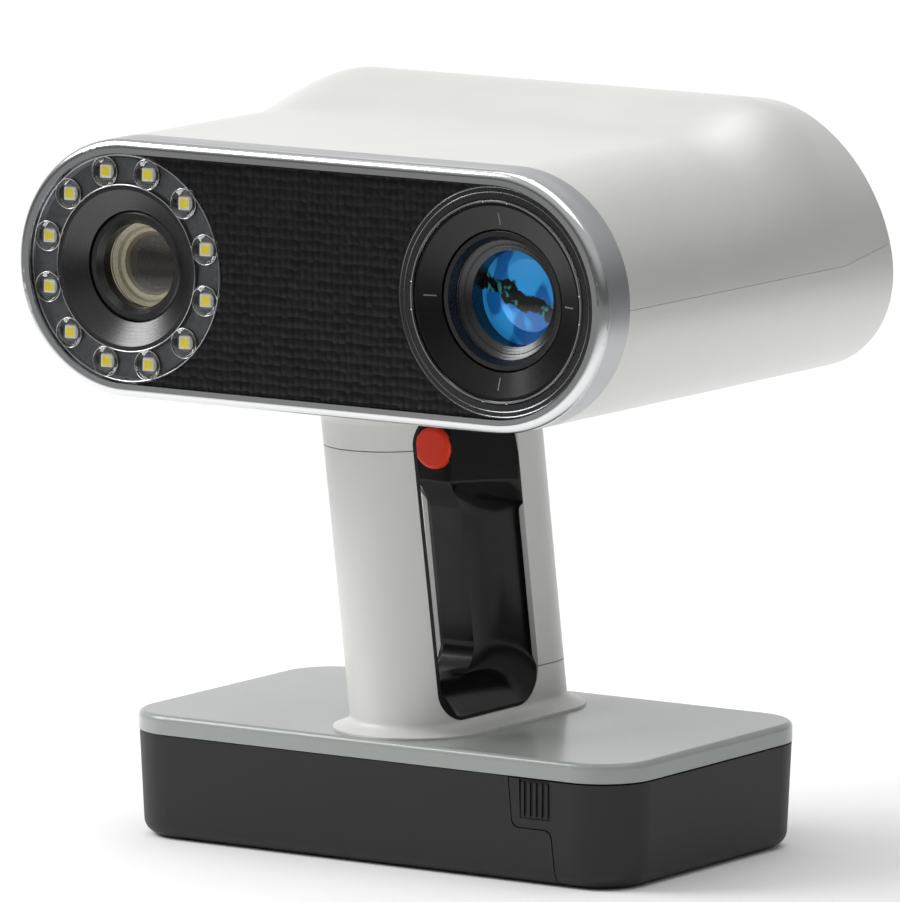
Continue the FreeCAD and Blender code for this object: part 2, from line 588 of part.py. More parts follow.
def head_section(depth, inset):
    """The head's outline at a depth: round below, and above as high as its top there."""
    radius = val("head_radius") - inset
    above = top_z(depth) - inset
    y, z, c = val(deep(depth)), val(HEAD_Z), val(LENS_X)
    edges = [Part.LineSegment(Vector(-c, y, z + above), Vector(c, y, z + above)).toShape()]
    slim = min(radius, above)
    for side in (1, -1):
        centre = Vector(side * c, y, z)
        low = Part.Arc(Vector(side * (c + radius), y, z),
                       Vector(side * (c + radius * math.sqrt(0.5)), y, z - radius * math.sqrt(0.5)),
                       Vector(side * c, y, z - radius)).toShape()
        top, wide = Vector(side * c, y, z + above), Vector(side * (c + radius), y, z)
        if above - slim < 1e-6:
            mid = centre + Vector(side * radius, 0, radius) * math.sqrt(0.5)
            high = Part.Arc(top, mid, wide).toShape()
        else:
            ellipse = Part.Ellipse(top, wide, centre)
            high = Part.Arc(ellipse, *sorted((ellipse.parameter(top), ellipse.parameter(wide))))
            if abs(high.LastParameter - high.FirstParameter) > math.pi:
                high = Part.Arc(ellipse, high.LastParameter, high.FirstParameter + 2 * math.pi)
            high = high.toShape()
        edges += [high, low] if side == 1 else [low, high]
    bottom = Part.LineSegment(Vector(c, y, z - radius), Vector(-c, y, z - radius)).toShape()
    edges.insert(3, bottom)
    return Part.Wire(Part.sortEdges(edges)[0])


def head_block(inset, start):
    """The head's outside, or its inside at an inset, from a depth back past the rear face."""
    end = val("front_reach + rear_reach") + 30
    rise, length = val("rise_start"), val("rise_length")
    flat = Part.Face(head_section(start, inset)).extrude(Vector(0, rise - start, 0))
    depths = [rise + length * part for part in (0, 0.2, 0.4, 0.6, 0.8, 1)]
    hump = Part.makeLoft([head_section(depth, inset) for depth in depths], True, False)
    tail = Part.makeLoft([head_section(depth, inset) for depth in (rise + length, end)], True, True)
    return flat.fuse([hump, tail]).removeSplitter()


def rear_place(depth):
    """The frame of the head's tilted rear face, or of a plane that far in front of it."""
    turn = Rotation(Vector(1, 0, 0), val("rear_tilt"))
    return Placement(Vector(0, val("rear_reach"), val(HEAD_Z)), turn) * Placement(
        Vector(0, -val(depth), 0), Rotation())


def rear_slab(near, far):
    """A slab along the tilted rear face, between two distances in front of it."""
    reach = 400.0
    slab = Part.makeBox(2 * reach, val(far) - val(near), 2 * reach,
                        Vector(-reach, -val(far), -reach))
    slab.Placement = rear_place("0") * slab.Placement
    return slab


def below_seam(shift):
    """Everything under the line where the two head shells meet."""
    half, far = val("head_width"), 400.0
    level = val(f"{HEAD_Z} - seam_drop") + shift
    start = val(deep("seam_climb_start"))
    slope = val("seam_climb") / val("front_reach + rear_reach - seam_climb_start")
    corners = ((-far, level), (start, level), (far, level + slope * (far - start)),
               (far, -far), (-far, -far))
    return side_prism(corners, (0,) * 5, half)


def make_shells():
    outer = head_block(0.0, val("bezel_depth"))
    inner = head_block(val("head_wall"), val("bezel_depth") - 1)
    shell = outer.cut([inner, rear_slab("-400", "0")])
    filler = head_block(val("head_wall + fit_gap"), val("rise_start") - 1)
    cover = filler.common(rear_slab("cover_recess", "cover_recess + cover_thick"))
    gap = val("head_seam_gap") / 2
    y = lean_y("core_offset + core_depth / 2 - 2", "handle_height")
    half_x, half_y = val("core_width / 2 + 1"), val("core_depth / 2 + 5.5")
    passage = Part.makeBox(2 * half_x, 2 * half_y, 20,
                           Vector(-half_x, y - half_y, val("base_height + handle_height") - 10))
    holes = [Part.makeCylinder(val("screw_radius") + 0.1, 12,
                               Vector(x, y, val("base_height + handle_height") - 6))
             for x, y in neck_screw_spots()]
    node(shaped(shell.cut(below_seam(gap))), "head_upper_shell")
    node(shaped(shell.common(below_seam(-gap)).cut([passage] + holes)), "head_lower_shell")

    tilt = rear_place("cover_recess")
    window = tilted_plate("glass_width / 2 + fit_gap", "glass_height / 2 + fit_gap",
                          "glass_corner + fit_gap", "glass_thick", "-cover_recess")
    well = tilted_plate("display_width / 2 + fit_gap", "display_height / 2 + fit_gap", "2",
                        "cover_thick + 1", "0")
    key_x = val("glass_width / 2 + key_radius + 5")
    key_hole = Part.makeCylinder(val("key_radius") + 0.3, val("cover_thick") + 2,
                                 Vector(key_x, 1, 0), Vector(0, -1, 0))
    key_room = Part.makeCylinder(val("key_radius") + 1.6, val("cover_thick - 3") + 1,
                                 Vector(key_x, -3, 0), Vector(0, -1, 0))
    for tool in (key_hole, key_room):
        tool.Placement = tilt * tool.Placement
    node(shaped(cover.cut([window, well, key_hole, key_room])), "screen_frame")
    node(shaped(tilted_plate("glass_width / 2", "glass_height / 2", "glass_corner",
                             "glass_thick", "0")), "touch_glass")
    node(shaped(tilted_plate("display_width / 2", "display_height / 2", "1.5",
                             "glass_thick + 0.1 + display_thick", "glass_thick + 0.1")),
         "display_panel")

    key = turned("0", "0", (
        ("key_proud", "0"), ("key_proud", "key_radius - 0.5"), ("key_proud - 0.5", "key_radius"),
        ("-3.8", "key_radius"), ("-3.8", "key_radius + 1.1"), ("-key_length", "key_radius + 1.1"),
        ("-key_length", "0")))
    switch = turned("0", "0", (
        ("-key_length - key_travel - 0.1", "0"), ("-key_length - key_travel - 0.1", "1.6"),
        ("-key_length - 1.6", "1.6"), ("-key_length - 1.6", "3.1"),
        ("-key_length - 3.2", "3.1"), ("-key_length - 3.2", "0")))
    for piece, label in ((key, "power_key"), (switch, "power_switch")):
        piece.Placement = tilt * Placement(Vector(key_x, 0, 0), Rotation())
        node(piece, label)


def tilted_plate(half_x, half_z, corner, far, near):
    """A rounded plate parallel to the screen frame's face, between two distances in front of it."""
    a, b = val(half_x), val(half_z)
    wire = rounded_wire([Vector(-a, 0, -b), Vector(a, 0, -b), Vector(a, 0, b), Vector(-a, 0, b)],
                        [val(corner)] * 4)
    wire.translate(Vector(0, -val(near), 0))
    plate = Part.Face(wire).extrude(Vector(0, val(near) - val(far), 0))
    plate.Placement = rear_place("cover_recess") * plate.Placement
    return plate


# ---------------------------------------------------------------- handle
def lean_y(offset, height):
    """Y of a place in the handle: an offset behind its front, at a height above the plate."""
    return val(f"handle_front + {offset} - front_reach - ({height}) * tan(handle_lean)")


def plan_wire(height, grow=0.0):
    """The handle's plan outline at a height above the plate, grown by a margin."""
    r = val("handle_width") / 2 + grow
    front, back = lean_y("0", height) - grow, lean_y("handle_depth", height) + grow
    z = val(f"base_height + {height}")
    edges = [Part.Arc(Vector(r, front + r, z), Vector(0, front, z), Vector(-r, front + r, z)),
             Part.LineSegment(Vector(-r, front + r, z), Vector(-r, back - r, z)),
             Part.Arc(Vector(-r, back - r, z), Vector(0, back, z), Vector(r, back - r, z)),
             Part.LineSegment(Vector(r, back - r, z), Vector(r, front + r, z))]
    return Part.Wire([edge.toShape() for edge in edges])


def leaning(wire, height):
    """A plan wire drawn up along the handle's lean."""
    rise = val(height)
    return Part.Face(wire).extrude(Vector(0, -rise * math.tan(math.radians(val("handle_lean"))), rise))


def post_depth(height):
    """Depth of the front post at a height above the plate."""
    foot, head = val("post_foot"), val("post_head")
    return foot + (head - foot) * height / val("handle_height")


def window_wire(margin, half_width):
    """The outline of the handle's window, moved in by a margin all round, in the plane X = -half_width."""
    low, high = val("window_floor") + margin, val("handle_height - window_top") - margin
    rear = val("handle_depth - strip_depth") - margin
    corners = [Vector(-half_width, lean_y(str(offset), str(height)), val("base_height") + height)
               for offset, height in ((post_depth(low) + margin, low), (post_depth(high) + margin, high),
                                      (rear, high), (rear, low))]
    corner, shoulder = val("window_corner") - margin, val("window_shoulder") - margin
    return rounded_wire(corners, (corner, shoulder, 3.0, corner))


def window_prism(margin, half_width):
    return Part.Face(window_wire(margin, half_width)).extrude(Vector(2 * half_width, 0, 0))


def block_face():
    """Y of the upright face that the trigger comes out of."""
    return lean_y("handle_depth - strip_depth - block_depth", "trigger_rise")


def hand_hole_wire(across):
    """The outline of the hole for the fingers, at a distance across from the handle's middle.

    Behind the hole the grip stands as a narrow nose that flares out, in a quarter of an ellipse,
    to the handle's sides; its floor is crowned in the middle, and the trigger's block juts
    out above it.
    """
    half, liner = val("handle_width") / 2, val("liner_thick")
    share = min(max((across - val("nose_half")) / (half - val("nose_half")), 0.0), 1.0)
    rear = val("handle_depth - strip_depth")
    nose = val("nose_offset") + (rear - val("nose_offset")) * math.sqrt(1 - (1 - share) ** 2)
    low = val("window_floor") + liner + val("grip_crown") * (1 - share ** 2)
    high, ledge = val("handle_height - window_top") - liner, val("nose_top")
    front = block_face()
    back = lean_y(str(rear), "block_floor") - val("block_edge")
    block = front + max(0.0, across - val("block_half")) / (half - val("block_half")) * (back - front)
    base = val("base_height")
    spots = [(lean_y(str(post_depth(low) + liner), str(low)), low), (lean_y(str(nose), str(low)), low),
             (lean_y(str(nose), str(ledge)), ledge), (block, val("block_floor")), (block, high),
             (lean_y(str(post_depth(high) + liner), str(high)), high)]
    bend, corner = val("nose_bend"), val("window_corner") - liner
    radii = (4 + (corner - 4) * share, bend + (corner - bend) * share, bend, 1.5, 1.0,
             val("window_shoulder") - liner)
    return rounded_wire([Vector(across, y, base + height) for y, height in spots], radii)


def hand_hole():
    """The hole for the fingers: straight at the nose's width and flared towards both sides."""
    nose, half = val("nose_half"), val("handle_width") / 2
    middle = Part.Face(hand_hole_wire(nose)).extrude(Vector(-2 * nose, 0, 0))
    steps = 8
    past = 0.5
    stations = [nose + (half - nose) * step / steps for step in range(steps + 1)] + [half + past]
    most_degree = 2
    side = Part.makeLoft([hand_hole_wire(across) for across in stations], True, False, False, most_degree)
    other = side.mirror(Vector(0, 0, 0), Vector(1, 0, 0))
    return middle.fuse([side, other])


def flare(foot, rise, grow, lip):
    """A skirt round the handle that grows in a hollow curve towards its end, with a thin lip there."""
    start, span, most, edge = val(foot), val(rise), val(grow), val(lip)
    up = 1 if span > 0 else -1
    wires = []
    for part in (0, 0.18, 0.42, 0.7, 1):
        height = start + up * edge + (span - up * edge) * part
        wires.append(plan_wire(str(height), most * (1 - part) ** 2.4))
    skirt = Part.makeLoft(wires, True, False)
    rim = plan_wire(str(start), most)
    return skirt.fuse(Part.makeLoft([rim, wires[0]], True, True))


def neck_screw_spots():
    """(x, y) of the two screws that hold the head down on the handle's neck."""
    y = lean_y("post_head / 2 + 1.4", "handle_height")
    return [(side * val("handle_width") / 4.8, y) for side in (-1, 1)]


def trigger_place(depth=0.0):
    """The trigger's own frame: its -Y points out of the face of the block."""
    return Placement(Vector(0, block_face() + depth, val("base_height + trigger_rise")), Rotation())


def make_handle():
    height = "handle_height"
    prism = leaning(plan_wire("0"), height)
    foot = flare("0", "foot_height", "foot_grow", "foot_lip")
    collar = flare("handle_height", "-collar_height", "collar_grow", "foot_lip")
    whole = prism.fuse([foot, collar])
    width = val("handle_width")
    window = window_prism(0.0, width)
    wall = val("handle_wall")
    inner = plan_wire("strip_seam / 3", -wall)
    room = leaning(inner, "handle_height + 2")
    strip_front = lean_y("handle_depth - strip_depth - 0.1", "0")
    z, far = val("base_height"), strip_front + 200
    behind = leaning(rounded_wire([Vector(-width, strip_front, z), Vector(width, strip_front, z),
                                   Vector(width, far, z), Vector(-width, far, z)], (0,) * 4),
                     "handle_height + 10")
    room = room.common(behind)
    shell = whole.cut([window, room])

    seam_y = lean_y("handle_depth / 2", "0")
    post_z, strip_z = val("base_height + post_seam"), val("base_height + strip_seam")
    gap = val("handle_seam_gap") / 2
    def lower_region(shift):
        corners = ((-200, 0), (200, 0), (200, strip_z + shift), (seam_y, strip_z + shift),
                   (seam_y, post_z + shift), (-200, post_z + shift))
        return side_prism(corners, (0,) * 6, width)
    cable = Part.makeCylinder(val("loom_radius") + 1, 30, Vector(
        0, lean_y("loom_offset", "0"), val("base_height") - 5))
    holes = [Part.makeCylinder(val("screw_radius"), val(depth), Vector(x, y, val("base_height")))
             for x, y, depth in foot_screw_spots()]
    neck = [Part.makeCylinder(val("screw_radius"), 6, Vector(x, y, val("base_height + handle_height") - 5.5))
            for x, y in neck_screw_spots()]
    node(shaped(shell.common(lower_region(-gap)).cut([cable] + holes)), "handle_lower_shell")
    node(shaped(shell.cut([lower_region(gap)] + neck)), "handle_upper_shell")

    filled = window_prism(val("fit_gap"), width).common(leaning(plan_wire("0", -0.05), height))
    insert = filled.cut(hand_hole())
    reach = 30.0
    guide = Part.makeCylinder(val("trigger_radius + trigger_fit"), reach + val("trigger_guide"),
                              Vector(0, -reach, 0), Vector(0, 1, 0))
    chamber = Part.makeCylinder(val("trigger_flange") + 0.4, reach,
                                Vector(0, val("trigger_guide"), 0), Vector(0, 1, 0))
    for tool in (guide, chamber):
        tool.Placement = trigger_place() * tool.Placement
    node(shaped(insert.cut([guide, chamber])), "grip_insert")


def foot_screw_spots():
    """(x, y, depth) of the four screws that hold the handle on the top plate."""
    front = lean_y("post_foot / 2 + 0.6", "0")
    rear = lean_y("handle_depth - handle_width / 4", "0")
    return [(side * 5.0, front, "14") for side in (-1, 1)] + [
        (side * 5.0, rear, "4.6") for side in (-1, 1)]


def make_handle_inside():
    half, depth, wall = val("core_width") / 2, val("core_depth"), val("core_wall")
    start = val("strip_seam / 3 + 0.2")
    length = val("handle_height + 12") - start
    def bar(inset, grow):
        near = lean_y("core_offset", str(start)) + inset
        far = near + depth - 2 * inset
        z = val("base_height") + start - grow
        wire = rounded_wire([Vector(-half + inset, near, z), Vector(half - inset, near, z),
                             Vector(half - inset, far, z), Vector(-half + inset, far, z)],
                            [2.0 - inset / 2] * 4)
        rise = length + 2 * grow
        return Part.Face(wire).extrude(Vector(
            0, -rise * math.tan(math.radians(val("handle_lean"))), rise))
    node(shaped(bar(0.0, 0.0).cut(bar(wall, 1.0))), "handle_core_tube")

    r = val("loom_radius")
    low_z = val(f"{PLATE_BOTTOM} - 1.5")
    base_y = lean_y("loom_offset", "0")
    spots = [Vector(0, base_y, low_z), Vector(0, base_y, val("base_height") + 4),
             Vector(0, lean_y("loom_offset", "handle_height"), val("base_height + handle_height")),
             Vector(0, lean_y("loom_offset - 3", "handle_height + 14"),
                    val("base_height + handle_height + 14"))]
    node(shaped(swept(spots, r)), "cable_loom")

    trigger = turned("0", "0", (
        ("-trigger_proud", "0"), ("-trigger_proud", "trigger_radius - 1.2"),
        ("-trigger_proud + 0.35", "trigger_radius - 0.35"), ("-trigger_proud + 1.1", "trigger_radius"),
        ("trigger_guide + 0.3", "trigger_radius"), ("trigger_guide + 0.3", "trigger_flange"),
        ("trigger_guide + 0.3 + trigger_flange_thick", "trigger_flange"),
        ("trigger_guide + 0.3 + trigger_flange_thick", "2"),
        ("switch_depth - trigger_travel - 0.4", "2"), ("switch_depth - trigger_travel - 0.4", "0")))
    trigger.Placement = trigger_place()
    node(trigger, "trigger_button")
    gap = val("switch_depth - trigger_guide - trigger_flange_thick") - 0.3
    spring = coil(val("trigger_spring_radius"), val("spring_wire"), gap - 0.1, val("spring_turns"))
    piece = node(shaped(spring), "trigger_spring")
    piece.Placement = trigger_place(val("trigger_guide + 0.3 + trigger_flange_thick") + 0.05) * Placement(
        Vector(), Rotation(Vector(1, 0, 0), -90))
    switch = Part.makeBox(val("switch_width"), val("switch_length"), val("switch_height"),
                          Vector(-val("switch_width") / 2, val("switch_depth"), -val("switch_height") / 2))
    piece = node(shaped(switch), "trigger_switch")
    piece.Placement = trigger_place()


def swept(spots, radius):
    """A round tube along straight runs joined by tangent arcs."""
    edges, start = [], spots[0]
    for i in range(1, len(spots) - 1):
        before = (spots[i - 1] - spots[i])
        after = (spots[i + 1] - spots[i])
        shorter = min(before.Length, after.Length)
        before.normalize()
        after.normalize()
        half = before.getAngle(after) / 2
        run = 0.45 * shorter
        bend = run * math.tan(half)
        entry, leave = spots[i] + before * run, spots[i] + after * run
        middle = spots[i] + (before + after).normalize() * (bend / math.sin(half) - bend)
        edges += [Part.LineSegment(start, entry).toShape(), Part.Arc(entry, middle, leave).toShape()]
        start = leave
    edges.append(Part.LineSegment(start, spots[-1]).toShape())
    section = Part.Wire(Part.makeCircle(radius, spots[0], spots[1] - spots[0]))
    return Part.Wire(edges).makePipeShell([section], True, False)


# ---------------------------------------------------------------- base
def base_block(inset, bottom, top):
    """The drafted outside of the base housing, moved in by a margin, between two heights."""
    low, high = val("foot_proud"), val(HOUSING_TOP)
    wires = []
    for z in (bottom, top):
        share = (high - z) / (high - low)
        margin = val("shadow_inset") + val("base_draft") * share + inset
        a, b = val("base_width") / 2 - margin, val("base_depth") / 2 - margin
        wires.append(rounded_wire([Vector(-a, -b, z), Vector(a, -b, z), Vector(a, b, z),
                                   Vector(-a, b, z)], [val("base_corner") - margin] * 4))
    return Part.makeLoft(wires, True, True)


def cap_region(shift):
    """Everything on the battery side of the stepped line round the removable end."""
    top_x, step_x = val("cap_top_x") + shift, val("cap_step_x") + shift
    step_z, slope, r = val("cap_step_z") + shift, val("cap_slope"), val("cap_corner")
    far = val("base_width")
    z_top, z_low = val("base_height"), -10.0
    corners = [(top_x, z_top), (top_x + slope, step_z), (step_x, step_z),
               (step_x + slope * 1.9, z_low), (far, z_low), (far, z_top)]
    reach = val("base_depth")
    wire = rounded_wire([Vector(x, -reach, z) for x, z in corners], [0, r, r, 0, 0, 0])
    return Part.Face(wire).extrude(Vector(0, 2 * reach, 0))


def housing_screw_spots():
    """(x, y) of the four bosses between the housing and the top plate."""
    y = val("case_depth / 2 + boss_radius + 0.8")
    return [(x, side * y) for x in (-val("case_left") - 10, val("cap_top_x") - 8) for side in (-1, 1)]


def make_base():
    low, high = val("foot_proud"), val(HOUSING_TOP)
    outer = base_block(0.0, low, high)
    rim = [edge for edge in outer.Edges if edge.BoundBox.ZMax < low + 1e-6]
    outer = outer.makeFillet(val("base_round"), rim)
    wall, floor = val("base_wall"), val("base_floor")
    inner = base_block(wall, low + floor, high + 1)
    housing = outer.cut([inner, cap_region(0.0)])
    bosses = [Part.makeCylinder(val("boss_radius"), high - low - 1, Vector(x, y, low + 1))
              for x, y in housing_screw_spots()]
    housing = housing.fuse([boss.common(outer) for boss in bosses])
    drill = [Part.makeCylinder(val("screw_radius") + 0.15, 60, Vector(x, y, -5))
             for x, y in housing_screw_spots()]
    sink = [Part.makeCylinder(val("screw_head") + 0.3, val("screw_head_thick") + 1.2 + 5,
                              Vector(x, y, low - 5)) for x, y in housing_screw_spots()]
    feet = [Part.makeCylinder(val("foot_radius") + 0.1, val("foot_thick - foot_proud") + 5,
                              Vector(x, y, low - 5)) for x, y in foot_spots()]
    node(shaped(housing.cut(drill + sink + feet).removeSplitter()), "base_housing")
    node(group(*[rod(str(x), str(y), "0", "foot_radius", "foot_thick", "z")
                 for x, y in foot_spots()]), "rubber_feet")
    return outer


def foot_spots():
    """(x, y) of the four rubber feet."""
    y = val("base_depth / 2 - foot_inset")
    return [(x, side * y) for x in (-val("foot_left"), val("foot_right")) for side in (-1, 1)]


def make_plate():
    body = new_body()
    sketch = new_sketch(body, "XY_Plane")
    bind(sketch, AttachmentOffset__Base__z=PLATE_BOTTOM)
    rounded_rectangle(sketch, "base_width / 2", "base_depth / 2", "base_corner")
    pad = body.newObject("PartDesign::Pad", "pad")
    pad.Profile = sketch
    bind(pad, Length="plate_thick")
    doc.recompute()
    top = val("base_height")
    edges = [f"Edge{i}" for i, edge in enumerate(body.Shape.Edges, 1)
             if abs(edge.BoundBox.ZMin - top) < 1e-6]
    edge_round = body.newObject("PartDesign::Fillet", "edge_round")
    edge_round.Base = (pad, edges)
    bind(edge_round, Radius="plate_round")
    tools = [rod(str(x), str(y), f"{PLATE_BOTTOM} - 1", "screw_radius + 0.15", "plate_thick + 2", "z")
             for x, y, _ in foot_screw_spots()]
    tools += [rod(str(x), str(y), f"{PLATE_BOTTOM} - 1", "screw_head + 0.2", "3", "z")
              for x, y, _ in foot_screw_spots()]
    tools += [rod(str(x), str(y), f"{PLATE_BOTTOM} - 1", "screw_radius", "5", "z")
              for x, y in housing_screw_spots()]
    tools.append(rod("0", str(lean_y("loom_offset", "0")), f"{PLATE_BOTTOM} - 1",
                     "loom_radius + 1", "plate_thick + 2", "z"))
    node(cut(body, *tools), "base_top_plate")
    screws = [screw(str(x), str(y), f"{PLATE_BOTTOM} + 2", f"plate_thick - 2 + {depth} - 0.3")
              for x, y, depth in foot_screw_spots()]
    node(group(*screws), "handle_foot_screws")
    under = f"foot_proud + 1.2 + screw_head_thick"
    screws = [screw(str(x), str(y), under, f"{PLATE_BOTTOM} + 3.6 - ({under})")
              for x, y in housing_screw_spots()]
    node(group(*screws), "base_screws")
    inside = val("base_height + handle_height + head_wall")
    screws = [screw(str(x), str(y), str(inside), "head_wall + 5", up=False)
              for x, y in neck_screw_spots()]
    node(group(*screws), "neck_screws")


# ---------------------------------------------------------------- battery
def make_battery(outer):
    gap = val("cap_gap")
    low, high = val("foot_proud"), val(HOUSING_TOP)
    cap = outer.common(cap_region(gap))
    lid = Part.makeBox(400, 400, 10, Vector(-200, -200, high - 0.3))
    case_half = val("case_depth") / 2
    case_z, case_top = val(CASE_Z), val(f"{CASE_Z} + case_height")
    room = Part.makeBox(val("case_right") + 0.3 - 0, 2 * case_half + 0.6, case_top - case_z + 0.6,
                        Vector(0, -case_half - 0.3, case_z - 0.3))
    right = val("base_width / 2 - shadow_inset - base_draft - cap_wall")
    hollow = Part.makeBox(right - val("case_right") - 1.5, 2 * case_half - 8, case_top - case_z - 3,
                          Vector(val("case_right") + 1.5, -case_half + 4, case_z + 1.5))
    hollow = hollow.makeFillet(4, [edge for edge in hollow.Edges
                                   if edge.BoundBox.ZLength > 5 and edge.BoundBox.XMin > right - 1])
    latches = []
    x, w, t = val("latch_x"), val("latch_width"), val("latch_thick")
    top = high - 0.6
    tall, play, face = val("latch_height"), val("latch_gap"), val(LATCH_Y)
    for side in (-1, 1):
        pocket = Part.makeBox(w + 2 * play, val("latch_pocket") + 5, tall + 2 * play)
        y = side * face - (5 if side < 0 else val("latch_pocket"))
        pocket.translate(Vector(x - w / 2 - play, y, top - tall - play))
        latches.append(pocket)
    node(shaped(cap.cut([lid, room, hollow] + latches).removeSplitter()), "battery_end_cap")

    for side, label in ((-1, "front"), (1, "rear")):
        tab = Part.makeBox(w, t, tall - play)
        tab.translate(Vector(x - w / 2, -face if side < 0 else face - t, top - tall))
        ribs = []
        count = int(val("rib_count"))
        pitch = w / count
        for i in range(count):
            rib = Part.makeBox(val("rib_width"), val("rib_proud") + 0.5, tall - play - 1.2)
            y = -face - val("rib_proud") if side < 0 else face - 0.5
            rib.translate(Vector(x - w / 2 + pitch * (i + 0.5) - val("rib_width") / 2, y, top - tall + 0.6))
            ribs.append(rib)
        node(shaped(tab.fuse(ribs).removeSplitter()), f"battery_latch_{label}")
        length = val("latch_pocket") - t
        spring = node(shaped(coil(val("latch_spring_radius"), val("spring_wire"), length - 0.1,
                                  val("spring_turns"))), f"latch_spring_{label}")
        spring.Placement = Placement(Vector(x, side * (face - t - 0.05), top - tall / 2),
                                     Rotation(Vector(1, 0, 0), 90 * side))

    case_left, wall = val("case_left"), val("case_wall")
    length = val("case_left + case_right")
    case = Part.makeBox(length, 2 * case_half, case_top - case_z, Vector(-case_left, -case_half, case_z))
    case = case.makeFillet(3.0, [edge for edge in case.Edges if edge.BoundBox.ZLength > 5])
    inside = Part.makeBox(length - 2 * wall, 2 * (case_half - wall), case_top - case_z - 2 * wall,
                          Vector(-case_left + wall, -case_half + wall, case_z + wall))
    plug = Part.makeBox(wall + 2, 40, 14, Vector(-case_left - 1, -20, case_z + 6))
    node(shaped(case.cut([inside, plug])), "battery_case")
    cells = []
    count = int(val("cell_count"))
    first = (val("case_right - case_left") - (count - 1) * val("cell_pitch")) / 2
    for i in range(count):
        cells.append(rod(f"{first + i * val('cell_pitch')}", "-cell_length / 2",
                         f"{CASE_Z} + case_height / 2", "cell_radius", "cell_length"))
    node(group(*cells), "battery_cells")
    contact_left = -case_left - 3.6
    socket = Part.makeBox(3.0, 44, 24, Vector(contact_left, -22, case_z + 1))
    pins = [Part.makeBox(4.0, 2.4, 9, Vector(contact_left + 1.5, -15 + i * 6.9 - 1.2, case_z + 8.5))
            for i in range(5)]
    node(shaped(socket.fuse(pins).removeSplitter()), "battery_socket")
    node(box(f"{contact_left - 1.8}", "-30", f"{CASE_Z} + 2", "board_thick", "60", "22"), "power_board")


def main():
    make_front()
    make_camera()
    make_projector()
    make_inside()
    make_shells()
    make_handle()
    make_handle_inside()
    outer = make_base()
    make_plate()
    make_battery(outer)
    doc.recompute()

    failed = [o.Name for o in doc.Objects if {"Invalid", "Error"} & set(o.State)]
    labels = [piece.Label for piece in NODES]
    failed += [piece.Label for piece in NODES if piece.Shape.isNull() or not piece.Shape.isValid()]
    if failed or len(set(labels)) != len(labels):
        raise RuntimeError(f"failed objects: {failed}, nodes: {labels}")
    os.makedirs("parts", exist_ok=True)
    for piece in NODES:
        piece.Shape.exportStep(f"parts/{piece.Label}.step")
        solids = piece.Shape.Solids
        print(piece.Label, len(solids), round(sum(s.Volume for s in solids), 1))
    print(len(NODES), "nodes")


main()
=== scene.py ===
"""Handheld 3-D scanner: finishes, small detail pieces, studio floor, lights and camera."""
import math

import bmesh
import bpy
from bpy.props import FloatProperty, IntProperty, PointerProperty, StringProperty
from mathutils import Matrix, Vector


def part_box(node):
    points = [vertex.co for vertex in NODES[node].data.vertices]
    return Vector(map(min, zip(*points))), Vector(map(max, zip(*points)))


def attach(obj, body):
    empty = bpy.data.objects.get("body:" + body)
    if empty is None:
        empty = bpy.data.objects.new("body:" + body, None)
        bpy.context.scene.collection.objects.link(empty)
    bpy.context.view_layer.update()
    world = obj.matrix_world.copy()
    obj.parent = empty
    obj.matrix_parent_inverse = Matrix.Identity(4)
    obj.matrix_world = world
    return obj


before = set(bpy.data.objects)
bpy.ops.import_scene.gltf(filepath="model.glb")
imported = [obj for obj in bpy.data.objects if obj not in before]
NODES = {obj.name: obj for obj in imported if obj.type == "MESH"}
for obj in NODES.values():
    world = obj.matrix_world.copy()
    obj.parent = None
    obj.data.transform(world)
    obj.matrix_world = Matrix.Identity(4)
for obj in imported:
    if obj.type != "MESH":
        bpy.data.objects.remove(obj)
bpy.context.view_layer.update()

bl_info = {
    "name": "Handheld Scanner Finishes",
    "version": (1, 0, 0),
    "blender": (4, 5, 0),
    "location": "3D View > Sidebar > Scanner",
    "description": "Finishes, small parts and studio for a handheld 3-D scanner",
    "category": "Object",
}

MM = 0.001


# ---------------------------------------------------------------- sizes and colours
class ScannerSizes(bpy.types.PropertyGroup):
    """Sizes that a user may change; all lengths are in metres."""
    scale_pitch: FloatProperty(
        name="Panel scale pitch", description="Distance between the panel's raised scales",
        default=2.4 * MM, unit="LENGTH")
    peel_size: FloatProperty(
        name="Paint grain", description="Size of the ripple in the sprayed paint",
        default=1.4 * MM, unit="LENGTH")
    brush_pitch: FloatProperty(
        name="Brush line pitch", description="Distance between brush lines in the metal",
        default=0.35 * MM, unit="LENGTH")
    tick_width: FloatProperty(
        name="Tick width", description="Width of the four aiming marks round the projector",
        default=0.4 * MM, unit="LENGTH")
    # Thin bright rings are painted highlights on the ring light and the projector shroud.
    highlight_wire: FloatProperty(
        name="Fine ring", description="Half the thickness of the thin bright rings",
        default=0.14 * MM, unit="LENGTH")
    ring_lights: IntProperty(
        name="Ring lights", description="Number of lights in the ring", default=12, min=1)


class ScannerColours(bpy.types.PropertyGroup):
    """Colours that a user may change, as sRGB hex values."""
    shell: StringProperty(name="Shell", description="Sprayed silver of the head", default="E3E3E0")
    handle: StringProperty(name="Handle", description="Handle colour", default="DADAD7")
    plate: StringProperty(name="Top plate", description="Base plate colour", default="9BA19E")
    black: StringProperty(name="Black", description="Base colour", default="232324")
    grip: StringProperty(name="Grip", description="Soft-touch grip colour", default="0E0E0E")
    trigger: StringProperty(name="Trigger", description="Trigger colour", default="F4402A")


def linear(code):
    """An sRGB hex value as linear red, green, blue and alpha."""
    parts = [int(code[i:i + 2], 16) / 255 for i in (0, 2, 4)]
    return tuple(c / 12.92 if c <= 0.04045 else ((c + 0.055) / 1.055) ** 2.4 for c in parts) + (1.0,)


def sizes():
    return bpy.context.scene.scanner_sizes


def colours():
    return bpy.context.scene.scanner_colours


